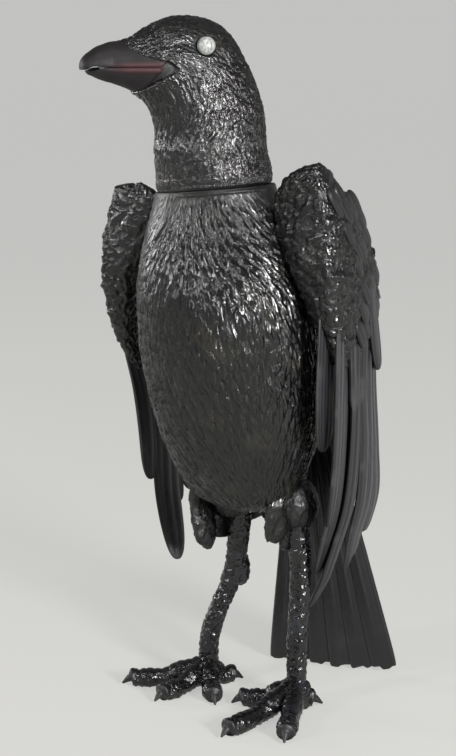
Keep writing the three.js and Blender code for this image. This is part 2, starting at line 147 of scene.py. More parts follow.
class Skin:
    """Closed skin on a grid of rings and columns, whose first and last rings are poles.

    A relief is pressed into it: each point moves along the outward normal of the smooth skin by
    the height there. Beside the height, every point keeps where it lies on its feather, in mm,
    and a share of satin paint."""

    def __init__(self, points):
        self.points = np.array(points, float)
        self.along = np.gradient(self.points, axis=0)
        across = (np.roll(self.points, -1, 1) - np.roll(self.points, 1, 1)) / 2
        normal = np.cross(across, self.along)
        self.facing = 1 if (normal * (self.points - self.points.mean((0, 1)))).sum() > 0 else -1
        self.normal = unit(normal) * self.facing
        for pole, ring in ((0, 1), (-1, -2)):
            self.normal[pole] = unit(self.normal[ring].mean(0))
        self.row = np.maximum(np.linalg.norm(self.along, axis=-1), 0.05)
        self.step = np.maximum(np.linalg.norm(across, axis=-1), 0.05)
        shape = self.points.shape[:2]
        self.height = np.zeros(shape)
        self.grain = self.points * (1, 1, 0.2)
        self.satin = np.zeros(shape)

    def press(self, ring, column, turn, width, length, lift, ridge, chance, soft=0.9, bead=False):
        """One leaf-shaped feather whose tip lies at a ring and column. Along it the height rises
        from 0 at the root to the lift at the tip, across it the surface is crowned and carries
        ridges, bent by a chance of its own, and its outline narrows towards the tip. A bead is a
        dome of the same size. Where feathers overlap the highest counts, as in a tiled roof."""
        rings, columns = self.height.shape
        ring, column = int(round(ring)), int(round(column)) % columns
        spot, normal = self.points[ring, column], self.normal[ring, column]
        down = unit(self.along[ring, column])
        ahead = down * math.cos(turn) + np.cross(normal, down) * math.sin(turn)
        ahead = unit(ahead - normal * (ahead @ normal))
        aside = np.cross(normal, ahead)
        tall = (length * abs(math.cos(turn)) + width) / self.row[ring, column]
        wide = (length * abs(math.sin(turn)) + 0.7 * width) / self.step[ring, column]
        wide = min(int(wide) + 1, columns // 2 - 1)
        rows = np.arange(max(1, ring - int(tall) - 1), min(rings - 1, ring + int(0.4 * tall) + 2))
        window = np.ix_(rows, np.arange(column - wide, column + wide + 1) % columns)
        offset = self.points[window] - spot
        t = np.clip(1 + offset @ ahead / length, 0, 1.001)
        a = offset @ aside / (0.5 * width)
        outline = np.clip(1 - t ** FEATHER_POINT, 0, 1) ** 0.75
        same_side = np.abs(offset @ normal) < 0.6 * length
        cover = ramp(0, soft, (outline - np.abs(a)) * 0.5 * width) * same_side
        if bead:
            rise = lift * np.sqrt(np.clip(1 - a * a - (2 * t - 1) ** 2, 0, 1))
        else:
            rise = lift * t ** 1.25 * (1 - 0.35 * a * a)
            bent = a + 0.25 * np.sin(4 * t + 9 * chance) * t
            fade = np.sin(math.pi * np.clip(t, 0, 1)) ** 0.5
            rise = rise + ridge * np.cos(math.pi * FEATHER_RIDGES * bent) * fade
            rise = rise * cover * ramp(0, 0.12, t)
        better = rise > self.height[window]
        self.height[window] = np.where(better, rise, self.height[window])
        apart = np.full_like(a, 40 * chance)
        place = np.stack([a * 0.5 * width, (t - 1) * length * 0.16, apart], -1)
        self.grain[window] = np.where(better[..., None], place, self.grain[window])

    def rows(self, start, end, pitch, field, rng):
        """Rows of feathers from one ring to another. field(rings, columns) gives the width,
        length, lift, turn and ridge of the feathers whose tips lie there; each row holds as many
        as fit round it, shifted by half a feather from the row before."""
        rings, columns = self.height.shape
        travel = np.concatenate([[0], np.cumsum(self.row.mean(1)[1:])])
        every = np.arange(columns)
        place, odd = travel[start], 0
        while place < travel[end]:
            ring = int(round(np.interp(place, travel, np.arange(rings))))
            width, length, lift, turn, ridge = field(np.full(columns, ring), every)
            filled = np.concatenate([[0], np.cumsum(self.step[ring] / (0.8 * width))])
            count = max(3, int(round(filled[-1])))
            at = (np.arange(count) + 0.5 * odd + rng.uniform(-0.16, 0.16, count)) / count % 1
            at = np.interp(at * filled[-1], filled, np.arange(columns + 1))
            drift = rng.uniform(-0.22, 0.22, count) * pitch(ring) / self.row.mean(1)[ring]
            size = rng.uniform(0.85, 1.2, count)
            swing = rng.normal(0, 0.09, count)
            chance = rng.uniform(0, 1, count)
            for k in range(count):
                c = int(at[k]) % columns
                where = np.clip(ring + drift[k], 1, rings - 2)
                self.press(where, at[k], turn[c] + swing[k], width[c] * size[k],
                           length[c] * size[k], lift[c] * mix(0.8, 1.15, chance[k]), ridge[c],
                           chance[k])
            place += pitch(ring)
            odd = 1 - odd

    def scatter(self, count, field, rng, **shape):
        """Feathers spread evenly over the skin's area, in an order that leaves no two close
        together: ring and column step by the two parts of the plastic ratio through the summed
        area. field gives width, length, lift, turn and ridge, each for all of them or one by one;
        a width of 0 leaves one out."""
        rings, columns = self.height.shape
        area = self.row * self.step
        share = np.arange(1, count + 1)[:, None] * (0.7548776662, 0.5698402910) % 1
        share = (share + rng.uniform(-0.3, 0.3, (count, 2)) / math.sqrt(count)) % 1
        down = np.cumsum(area.sum(1))
        ring = np.interp(share[:, 0] * down[-1], down, np.arange(rings)).astype(int)
        ring = np.clip(ring, 1, rings - 2)
        side = np.cumsum(area[ring], 1)
        column = (side < share[:, 1:] * side[:, -1:]).sum(1) % columns
        width, length, lift, turn, ridge, _ = np.broadcast_arrays(*field(ring, column), ring)
        size = rng.uniform(0.75, 1.3, count)
        swing = rng.normal(0, 0.16, count)
        chance = rng.uniform(0, 1, count)
        for k in np.flatnonzero(width > 0):
            self.press(ring[k], column[k], turn[k] + swing[k], width[k] * size[k],
                       length[k] * size[k], lift[k] * mix(0.6, 1.2, chance[k]), ridge[k],
                       chance[k], **shape)

    def surface(self, lumps):
        return self.points + self.normal * (self.height + lumps)[..., None]


def closed(points):
    """Skin whose first and last rings are drawn together, each to its middle."""
    points[0] = points[0].mean(0)
    points[-1] = points[-1].mean(0)
    return Skin(points)


def faces(rings, columns, facing, start):
    """Corner numbers of a closed skin's faces: quads between rings, fans at the two poles."""
    ring = np.arange(rings - 2)[:-1, None] * columns
    column = np.arange(columns)[None]
    after = (column + 1) % columns
    below = ring + columns
    quads = np.stack([ring + column, ring + after, below + after, below + column], -1)
    quads = quads.reshape(-1, 4) + start + 1
    last = start + 1 + (rings - 2) * columns
    first = np.stack([np.full(columns, start), start + 1 + after[0], start + 1 + column[0]], -1)
    low = last - columns
    final = np.stack([np.full(columns, last), low + column[0], low + after[0]], -1)
    found = [quads, first, final]
    return [part[:, ::-1] if facing < 0 else part for part in found]


def piece(name, parts, material, node):
    """One object from pairs of a closed skin and the lumps under its relief: their points and
    faces, and for every point where it lies on its feather, how high, and how satin it is."""
    kept = {"place": [], "grain": [], "relief": [], "satin": []}
    corners, start = [], 0
    for skin, lumps in parts:
        rings, columns = skin.height.shape
        relief = np.clip(skin.height / max(float(skin.height.max()), 0.05), 0, 1)
        fields = (skin.surface(lumps), skin.grain, relief, skin.satin)
        for found, values in zip(kept.values(), fields):
            middle = values[1:-1].reshape((-1,) + values.shape[2:])
            found.append(np.concatenate([values[:1, 0], middle, values[-1:, 0]]))
        corners += faces(rings, columns, skin.facing, start)
        start += 2 + (rings - 2) * columns
    kept = {key: np.concatenate(values) for key, values in kept.items()}
    mesh = bpy.data.meshes.new(name)
    spots = (kept["place"] + SHIFT) / 1000
    mesh.from_pydata(spots.tolist(), [], [corner for part in corners for corner in part.tolist()])
    grain = mesh.attributes.new("grain", "FLOAT_VECTOR", "POINT")
    grain.data.foreach_set("vector", kept["grain"].astype(np.float32).ravel())
    for key in ("relief", "satin"):
        values = mesh.attributes.new(key, "FLOAT", "POINT")
        values.data.foreach_set("value", kept[key].astype(np.float32))
    mesh.shade_smooth()
    mesh.materials.append(material)
    made = bpy.data.objects.new(name, mesh)
    bpy.context.scene.collection.objects.link(made)
    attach(made, "root")
    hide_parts(node)


# Places on the bird

def head_frame(forward, left, height):
    """From the upright plane of the bill to the bird: forward, to the bird's left, up."""
    x = HEAD_PLACE[0] - forward * math.sin(HEAD_TURN) + left * math.cos(HEAD_TURN)
    y = HEAD_PLACE[1] - forward * math.cos(HEAD_TURN) - left * math.sin(HEAD_TURN)
    return np.stack(np.broadcast_arrays(x, y, height), -1)


def eye_centre(side):
    """Middle of an eye bead: side is 1 for the bird's left one and -1 for its right one."""
    return head_frame(EYE_SPOT[0], side * EYE_SPOT[1], EYE_SPOT[2])


def bright_seam(theta):
    """1 where the joint has a rolled lip that catches the light: on the bird's front left."""
    return ramp(-5, 12, theta) * ramp(100, 74, theta)


SHIFT = np.array(sum(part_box("eye_left"), Vector()) / 2) * 1000 - eye_centre(1)

BODY = through([
    # height, middle x, middle y, half width, reach ahead, reach behind
    (150, 0, 0, 41, 34, 44),
    (168, 0, -6, 44, 38, 48),
    (183, 0, -12, 48.5, 42, 52),
    (205, 0, -14, 57, 50, 60),
    (250, -1, -17, 66, 62, 68),
    (310, -3, -23, 66, 66, 64),
    (343, -5, -28, 59, 58, 58),
    (374, -7, -30, 50, 48, 49),
    (397, -8, -32, 43.5, 42, 43),
    (425, -8, -33, 41, 40, 41),
])
BODY_BOTTOM = 150
BODY_DOME = 22


def body_skin():
    """The trunk: a ring of half width and reach from the stations at every height, closed by a
    flat lid in the plane of the joint and by a low dome under the belly."""
    angle = around(372, math.radians(38), 0.25)
    round_off = np.linspace(0, 0.5 * math.pi, 5)
    low = BODY_BOTTOM + BODY_DOME
    side = np.concatenate([np.linspace(SEAM_HEIGHT - 0.6, 388, 16), np.linspace(388, low, 200)[1:]])
    close = np.linspace(0, 0.5 * math.pi, 36)[1:]
    height = np.concatenate([np.full(4, SEAM_HEIGHT), SEAM_HEIGHT - 0.6 * (1 - np.cos(round_off)),
                             side[1:], low - BODY_DOME * np.sin(close)])
    size = np.concatenate([np.linspace(0, 0.97, 4), 1 - 0.014 * (1 - np.sin(round_off)),
                           np.ones(len(side) - 1), np.cos(close)])
    first = 9
    x, y, half, ahead, behind = BODY(height)
    reach = np.where(np.cos(angle) > 0, ahead[:, None], behind[:, None])
    px = x[:, None] + (size * half)[:, None] * np.sin(angle)
    py = y[:, None] - size[:, None] * reach * np.cos(angle)
    tilt = ramp(340, SEAM_HEIGHT, height)[:, None]
    pz = height[:, None] + tilt * (SEAM_RISE * px - 0.5 * SEAM_GAP)
    points = np.stack([px, py, np.broadcast_to(pz, px.shape)], -1)
    skin = closed(points)
    height = np.broadcast_to(height[:, None], px.shape)
    theta = np.broadcast_to((np.degrees(angle) + 180) % 360 - 180, px.shape)
    rng = np.random.default_rng(11)

    def breast(z, turn):
        """1 where the large scales are, on the front left of the breast."""
        return ramp(64, 40, np.abs(turn - 46)) * ramp(205, 252, z) * ramp(362, 340, z)

    def sweep(z, turn):
        """The feathers spread from the neck and draw together under the belly."""
        front = ramp(150, 110, np.abs(turn - 20))
        spread = 0.7 * np.sin(np.radians(turn - 14)) * ramp(275, 350, z)
        gather = 0.75 * np.sin(np.radians(turn - 55)) * ramp(300, 190, z)
        return front * (spread - gather)

    def field(ring, column):
        z, turn = height[ring, column], theta[ring, column]
        large = breast(z, turn)
        back = ramp(110, 145, np.abs(turn - 20))
        top = ramp(352, 388, z)
        width = mix(mix(5.2, 11.0, large) + 5 * back, 5.0, top)
        length = mix(mix(24, 21, large), 12, top)
        lift = mix(mix(2.1, 2.4, large), 0.8, top)
        return width, length, lift, sweep(z, turn), mix(0.3, 0.55, large) * (1 - 0.7 * top)

    skin.rows(first + 8, len(size) - 8, lambda ring: 8.2, field, rng)

    def strands(ring, column):
        z, turn = height[ring, column], theta[ring, column]
        keep = rng.uniform(0, 1, len(z)) > 0.93 * breast(z, turn)
        top = ramp(335, 380, z)
        cross = ramp(60, 76, turn) * ramp(118, 100, turn) * ramp(225, 245, z) * ramp(300, 275, z)
        swing = sweep(z, turn) + cross * rng.choice((-0.75, 0.75), len(z))
        length = mix(mix(19, 8, top), 11, cross)
        return keep * mix(3.7, 2.6, top), length, mix(2.0, 0.9, top), swing, 0

    skin.scatter(3400, strands, rng)
    dull = ramp(255, 190, height) + ramp(15, -20, theta) * ramp(-140, -110, theta) * 0.8
    skin.satin = np.clip(dull, 0, 1)
    quiet = ramp(0, 12, SEAM_HEIGHT - height)
    near_seam = bright_seam(theta)
    bead = 0.9 * near_seam * np.exp(-((SEAM_HEIGHT - height - 2.6) / 1.0) ** 2)
    skin.height *= mix(mix(0.7, 0.15, near_seam), 1, quiet)
    skin.height[:first] = 0
    lumps = noise(points, 31, 3) * 1.1 + noise(points, 9, 5) * 0.35 + noise(points, 3.2, 6) * 0.12
    lumps = lumps * quiet + bead
    lumps[:first] = 0
    return skin, lumps


THIGHS = ((40, 6, 158), (-20, 6, 158))
THIGH_SIZE = (15, 17, 20)
HEM_TUFTS = 9
HEM_SPREAD = 0.54  # of a turn round the bird's back, from its left side to its right
HEM_MIDDLE_Y = -5
HEM_REACH = (40, 43)
HEM_TUCK = 0.17
HEM_TOP = 172
HEM_DROP = (41, 48)
HEM_UNEVEN = 7


def thigh_skin(centre, seed):
    """The feathered cuff of a leg: an egg covered in short strands that hang down."""
    skin = ball(centre, THIGH_SIZE, 66, 84)
    rng = np.random.default_rng(seed)

    def strands(ring, column):
        return 3.4, 11, 1.5, rng.normal(0, 0.3, len(ring)), 0

    skin.scatter(420, strands, rng)
    skin.satin = np.full(skin.height.shape, 0.7)
    return skin, noise(skin.points, 7, seed) * 0.8


def hem_skins():
    """Ragged tufts under the tail and flanks: each is a flat section carried down from the
    trunk, drawn in on the way, its end torn by noise, and covered in strands."""
    rings, columns = 62, 44
    v = np.linspace(0, 1, rings)[:, None]
    turn = around(columns)
    skins = []
    for i in range(HEM_TUFTS):
        share = i / (HEM_TUFTS - 1)
        angle = math.pi + HEM_SPREAD * (share - 0.5) * TURN
        drop = mix(*HEM_DROP, share) + HEM_UNEVEN * math.sin(7.3 * i)
        end = (np.clip(1 - v ** 5, 0, 1) * np.clip(1 - (1 - v) ** 6, 0, 1)) ** 0.35
        across = 16.0 * end * np.cos(turn)
        out = 6 * end ** 0.6 * np.sin(turn)
        spots = np.stack([across, 0 * across, 0 * across + 9 * i], -1)
        down = drop * v * (1 + 0.09 * noise(spots, 4.5, 8) * v)
        size = 1 - HEM_TUCK * v
        points = np.stack([
            math.sin(angle) * (HEM_REACH[0] * size + out) + math.cos(angle) * across,
            HEM_MIDDLE_Y - math.cos(angle) * (HEM_REACH[1] * size + out) + math.sin(angle) * across,
            HEM_TOP - down], -1)
        skin = closed(points)
        rng = np.random.default_rng(90 + i)

        def strands(ring, column):
            return 3.6, 12, 1.4, rng.normal(0, 0.35, len(ring)), 0

        skin.scatter(130, strands, rng)
        skins.append((skin, noise(points, 6, 30 + i) * 0.9 * end))
    return skins


PIVOT = (75, 425)
NECK_DROP = 45
BILL_REACH = 19
HEAD_REACH = 6  # how far the feathered head reaches into the bill
OVERBITE = 3.6
MOUTH_HEIGHT = 483
BILL_SHARE = 0.13  # of the way along the bent tube
NECK_SHARE = 0.3
HEAD_RINGS = through([
    # turn in degrees, reach of throat and of crown from the pivot, half width
    (0, 41, 121, 39),
    (15, 43, 121, 37),
    (30, 44.5, 121, 33.5),
    (45, 45.5, 121, 30),
    (60, 45.5, 106.5, 26),
    (75, 46, 81, 18.5),
    (90, 48, 74.5, 12),
])
NECK_RINGS = through([
    # drop below the pivot, forward ends of the section, half width
    (0, 34, -46, 39),
    (27, 31, -50, 42.5),
    (45, 31, -50, 43.5),
])
BILL_RINGS = through([
    # reach past the pivot, lower and upper edge above the pivot, half width
    (0, 48, 74.5, 12),
    (7, 50.5, 72, 10.5),
    (13, 53, 68.5, 8.5),
    (19, 53.5, 64, 6),
])
BILL_EDGE = through([
    # height, distance forward at which the feathers end
    (464, 56),
    (473, 45),
    (480, 34),
    (486, 38),
    (491, 56),
    (502, 67),
])


def head_rings(v, bill_reach=BILL_REACH):
    """Both ends of the section at each share v of the bent tube that is bill, head and neck, as
    forward and height, and its half width. Bill: sections step forward; head: they turn about
    the pivot; neck: they step down."""
    reach = bill_reach * np.cos(0.5 * math.pi * np.clip(v / BILL_SHARE, 0, 1))
    low, high, bill = BILL_RINGS(reach)
    turn = np.radians(90 * (1 - np.clip((v - BILL_SHARE) / (1 - BILL_SHARE - NECK_SHARE), 0, 1)))
    near, far, head = HEAD_RINGS(np.degrees(turn))
    drop = NECK_DROP * np.clip((v - 1 + NECK_SHARE) / NECK_SHARE, 0, 1)
    front, back, neck = NECK_RINGS(drop)

    def pick(in_bill, in_neck, in_head):
        return np.where(v < BILL_SHARE, in_bill, np.where(v > 1 - NECK_SHARE, in_neck, in_head))

    ahead = PIVOT[0] + reach
    near_forward = pick(ahead, front, PIVOT[0] - near * np.cos(turn))
    far_forward = pick(ahead, back, PIVOT[0] - far * np.cos(turn))
    near_height = PIVOT[1] + pick(low, -drop, near * np.sin(turn))
    far_height = PIVOT[1] + pick(high, -drop, far * np.sin(turn))
    return near_forward, far_forward, near_height, far_height, pick(bill, neck, head)


def head_skin():
    """Head and neck: the bent tube with rings of small feathers, pulled in where the bare bill
    covers it and cut off by the plane of the joint, where it ends in a rolled lip."""
    angle = around(312, 1.7, 0.15)
    v = np.concatenate([np.linspace(0.02, BILL_SHARE, 14)[:-1], np.linspace(BILL_SHARE, 1, 244)])
    rings = head_rings(v, HEAD_REACH)
    near_forward, far_forward, near_height, far_height, half = [a[:, None] for a in rings]
    first = np.linspace(0, 1, 9)
    close = np.ones(len(v))
    close[:9] = np.sqrt(1 - (1 - first) ** 2)
    close = close[:, None]
    share = 0.5 - 0.5 * np.cos(angle) * close
    forward = mix(near_forward, far_forward, share)
    height = mix(near_height, far_height, share)
    left = half * close * np.sin(angle)
    spots = head_frame(forward, left, height)
    bottom = SEAM_HEIGHT + 0.5 * SEAM_GAP
    count = int((spots[..., 2].min(1) > bottom + 6).sum())
    spots, forward = spots[:count], forward[:count]
    last = spots[-1]
    rows = []
    for part in np.linspace(0, 1, 16)[1:]:
        row = last.copy()
        row[:, 2] = mix(last[:, 2], bottom + SEAM_RISE * last[:, 0] + 0.5, part)
        rows.append(row)
    lip = rows[-1]
    middle = lip.mean(0)
    for inward, down in ((0.997, 0.3), (0.988, 0.46), (0.975, 0.5), (0.5, 0.5), (0, 0.5)):
        row = mix(middle, lip, inward)
        row[:, 2] = bottom + SEAM_RISE * row[:, 0] + 0.5 - down
        rows.append(row)
    points = np.concatenate([spots, np.array(rows)])
    points[0] = points[0].mean(0)
    skin = Skin(points)
    extra = len(rows)
    forward = np.concatenate([forward, np.full((extra, forward.shape[1]), 0)])
    height = points[..., 2]
    bare = bare_share(forward, height, 1.2)
    rng = np.random.default_rng(5)
    eye_gap = np.minimum(*(np.linalg.norm(points - eye_centre(side), axis=-1)
                           for side in (1, -1)))

    def field(ring, column):
        z, ahead = height[ring, column], forward[ring, column]
        face = ramp(440, 490, z) * ramp(-20, 20, ahead)
        keep = (bare[ring, column] < 0.6) & (eye_gap[ring, column] > EYE_RADIUS + 1.2)
        turn = noise(points[ring, column], 22, 9) * 0.55
        return mix(3.7, 2.6, face) * keep, mix(11, 5.5, face), mix(1.6, 1.15, face), turn, 0.05

    skin.scatter(6600, field, rng, soft=0.8)

    def bristles(ring, column):
        z, ahead = height[ring, column], forward[ring, column]
        keep = (z > 491) & (ahead > 40) & (bare[ring, column] < 0.5)
        return 2.4 * keep, 10, 1.7, math.pi, 0

    skin.scatter(5200, bristles, rng, soft=0.7)
    skin.height *= 1 - bare
    seam = points[..., 2] - bottom - SEAM_RISE * points[..., 0]
    theta = np.degrees(np.arctan2(points[..., 0] - SEAM_MIDDLE[0],
                                  SEAM_MIDDLE[1] - points[..., 1]))
    near_seam = bright_seam(theta)
    bead = 0.8 * near_seam * np.exp(-((seam - 2.2) / 0.9) ** 2)
    skin.height *= mix(mix(0.8, 0.2, near_seam), 1, ramp(1, 7, seam))
    skin.height[-6:] = 0
    lumps = noise(points, 24, 2) * 0.7 + noise(points, 5, 4) * 0.3 + noise(points, 2.5, 5) * 0.1
    ring = np.exp(-((eye_gap - EYE_RADIUS - 1.2) / 0.9) ** 2)
    socket = np.exp(-(eye_gap / 7.2) ** 4)
    lumps = lumps * (1 - bare) * ramp(0, 6, seam)
    lumps = lumps + bead + 0.8 * ring - 1.8 * socket - brow_groove(forward, height) - 2.6 * bare
    lumps[-6:] = 0
    return skin, lumps


def bare_share(forward, height, soft):
    """1 on the bare bill and gape, 0 under feathers."""
    edge = BILL_EDGE(np.clip(height, 464, 502))[0]
    edge = np.where(height < 464, 70, edge)
    return ramp(-soft, soft, forward - edge)


def brow_groove(forward, height):
    """The groove from the eye to the bill, under the brow: a soft trench along a line that falls
    from 500 at the eye to 498 at the bill."""
    line = mix(500, 497, np.clip((forward - 12) / 40, 0, 1))
    inside = ramp(14, 22, forward) * ramp(58, 46, forward)
    return 1.5 * inside * np.exp(-((height - line) / 4.0) ** 2)


def bill_half(upper):
    """One half of the bill: the part of the bent tube above or below the mouth. Each ring is the
    arc from one corner of the mouth to the other, closed by a shallow arch along the mouth."""
    rings, arc, flat = 90, 64, 24
    v = np.concatenate([0.09 * np.linspace(0, 1, 34) ** 1.4,
                        np.linspace(0.09, 0.34, rings - 33)[1:]])
    reach = BILL_REACH if upper else BILL_REACH - OVERBITE
    near_forward, far_forward, near_height, far_height, half = head_rings(v, reach)
    close = dome(1 - v / 0.05)
    ahead = near_forward - PIVOT[0]
    if upper:
        mouth = MOUTH_HEIGHT + 0.4 + 0.5 * ramp(4, 12, ahead) - 2.4 * ramp(13, 18, ahead)
    else:
        mouth = MOUTH_HEIGHT - 0.4 - 2.0 * ramp(5, 15, ahead)
    wanted = (mouth - near_height) / (far_height - near_height)
    corner = np.arccos(np.clip((1 - 2 * wanted) / np.maximum(close, 1e-3), -0.999, 0.999))
    sweep = np.linspace(0, 1, arc)
    if upper:
        angle = mix(corner[:, None], TURN - corner[:, None], sweep)
    else:
        angle = mix(-corner[:, None], corner[:, None], sweep)
    share = 0.5 - 0.5 * np.cos(angle) * close[:, None]
    pinch = np.sign(np.sin(angle)) * np.abs(np.sin(angle)) ** 1.12
    left = half[:, None] * close[:, None] * pinch
    forward = mix(near_forward[:, None], far_forward[:, None], share)
    height = mix(near_height[:, None], far_height[:, None], share)
    back = np.linspace(0, 1, flat + 2)[1:-1]
    arch = (0.9 if upper else -0.9) * np.sin(math.pi * back) * np.clip(half, 0, 12)[:, None] / 12
    left = np.concatenate([left, mix(left[:, -1:], left[:, :1], back)], 1)
    forward = np.concatenate([forward, mix(forward[:, -1:], forward[:, :1], back)], 1)
    height = np.concatenate([height, mix(height[:, -1:], height[:, :1], back) + arch], 1)
    points = head_frame(forward, left, height)
    middle = points.mean(1, keepdims=True)
    points = mix(middle, points, dome((v - 0.30) / 0.04)[:, None, None])
    skin = closed(points)
    outer = np.arange(height.shape[1]) < arc
    gap = np.abs(height - MOUTH_HEIGHT)
    skin.satin = np.exp(-(gap / 3.6) ** 4) * ramp(82, 62, forward)
    skin.grain = points
    lips = 0.9 * np.exp(-((gap - 2.0) / 1.6) ** 2) * ramp(84, 66, forward) * outer
    worn = noise(points, 6, 12) * 0.25 * outer
    return skin, lips + worn - 3.0 * (1 - bare_share(forward + 4, height, 2))


def ball(centre, radius, rings, columns):
    """Sphere: rings of the sine of the way down, at heights of its cosine."""
    down = np.linspace(0, math.pi, rings)[:, None]
    angle = around(columns)
    spots = np.stack([np.sin(down) * np.cos(angle), np.sin(down) * np.sin(angle),
                      np.cos(down) * np.ones(columns)], -1)
    return Skin(np.array(centre) + np.array(radius) * spots)


# Wings

WING_MIDDLE = -7
SHEET_FRONT, SHEET_BACK = -30, 50
ARM_LENGTH = 147
ARM = through([
    # share from the top down, front y, back y, thickness inward and outward of the sheet
    (0, -38, -20, 18, 4),
    (0.1, -39, -6, 20, 6),
    (0.25, -39, 14, 20, 9),
    (0.45, -40, 34, 16, 10),
    (0.7, -36, 44, 11, 9),
    (0.9, -30, 45, 8, 7),
    (1, -26, 43, 6, 5),
])
COVERT_TIPS = ((-9.5, 401), (8, 388), (18, 378), (23, 366), (29, 353), (32.6, 340), (40.5, 324),
               (40, 306), (34, 290))
WINGS = {
    "wing_left": {
        "side": 1, "top": 417, "lean": -0.3,
        "reach": through([
            # height, reach at the front of the sheet and at its back
            (70, 50, 42), (98, 62, 58), (130, 74, 71), (163, 84, 83), (200, 92, 87),
            (250, 97, 89), (330, 99, 89), (390, 92, 84), (420, 85, 78),
        ]),
        # share from the top of the arm down, how far its front swells towards the body
        "swell": through([(0, 30), (0.1, 36), (0.3, 36), (0.5, 30), (0.7, 22), (0.9, 12), (1, 6)]),
        # flight feathers: y and height from root to tip, width there, how far out, ridges, shaft
        "feathers": [
            (((-22, 330), (-20, 290), (-18, 250), (-13, 209)), (32, 32), -8.5, 8, 0.3),
            (((-21, 325), (-18, 286), (-14, 230), (-9, 187), (-4, 149)), (19, 13), 2, 3, 0.5),
            (((-6, 326), (-1, 240), (6, 165), (14, 105)), (30, 27), -1.5, 5, 0.6),
            (((-4, 322), (-2, 290), (2, 260), (4.5, 238)), (12, 10), 3, 2, 0.9),
            (((4, 318), (9, 244), (15, 170), (18, 119), (20, 98), (18, 75)), (19, 17), 3.4, 3, 1.5),
            (((20, 318), (22, 250), (29, 210), (39, 143), (54, 98)), (22, 18), 2.4, 4, 1.3),
            (((28, 316), (32, 250), (40, 200), (51, 127), (57, 107)), (22, 19), 1.2, 4, 1.1),
            (((36, 314), (38, 252), (47, 204), (60, 145), (66, 128)), (21, 18), 0, 4, 0.9),
            (((22, 340), (27, 312), (34, 285), (41.5, 262)), (18, 17), 4.6, 4, 0.5),
        ],
    },
    "wing_right": {
        "side": -1, "top": 391, "lean": 0.22,
        "reach": through([
            (70, 64, 56), (97, 70, 62), (150, 83, 77), (200, 84, 80), (235, 87, 82),
            (270, 94, 86), (330, 100, 90), (400, 91, 83),
        ]),
        "swell": through([(0, 32), (0.1, 38), (0.25, 26), (0.45, 12), (0.7, 5), (1, 3)]),
        "feathers": [
            (((-22, 325), (-16, 270), (-11, 215), (-8, 160)), (20, 20), 0, 4, 0.6),
            (((-8, 320), (0, 245), (7, 165), (2, 95)), (27, 26), -2, 3, 0.3),
            (((-2, 315), (3, 250), (8, 190), (12, 128)), (22, 22), 2, 4, 1.0),
            (((10, 315), (14, 255), (18, 195), (24, 135)), (22, 22), 4, 4, 1.2),
            (((22, 310), (27, 255), (33, 200), (39, 142)), (24, 22), 3, 4, 1.1),
            (((32, 310), (38, 260), (43, 210), (48, 160)), (22, 20), 1, 4, 1.0),
            (((30, 345), (34, 318), (38, 290), (43, 260)), (20, 18), 4.6, 4, 0.6),
        ],
    },
}
SWELL_PLACE = 0.22  # of the way from the front of the arm to its back
LEDGES = ((44, 2.4), (82, 2.2))  # drop below the arm's top, half height


def sheet(wing, y, height, out):
    """The curved sheet beside the body that a wing lies on: its reach from the middle changes
    with height and from front to back."""
    front, back = wing["reach"](height)
    reach = mix(front, back, (y - SHEET_FRONT) / (SHEET_BACK - SHEET_FRONT))
    x = WING_MIDDLE + wing["side"] * (reach + out)
    return np.stack(np.broadcast_arrays(x, y, height), -1)


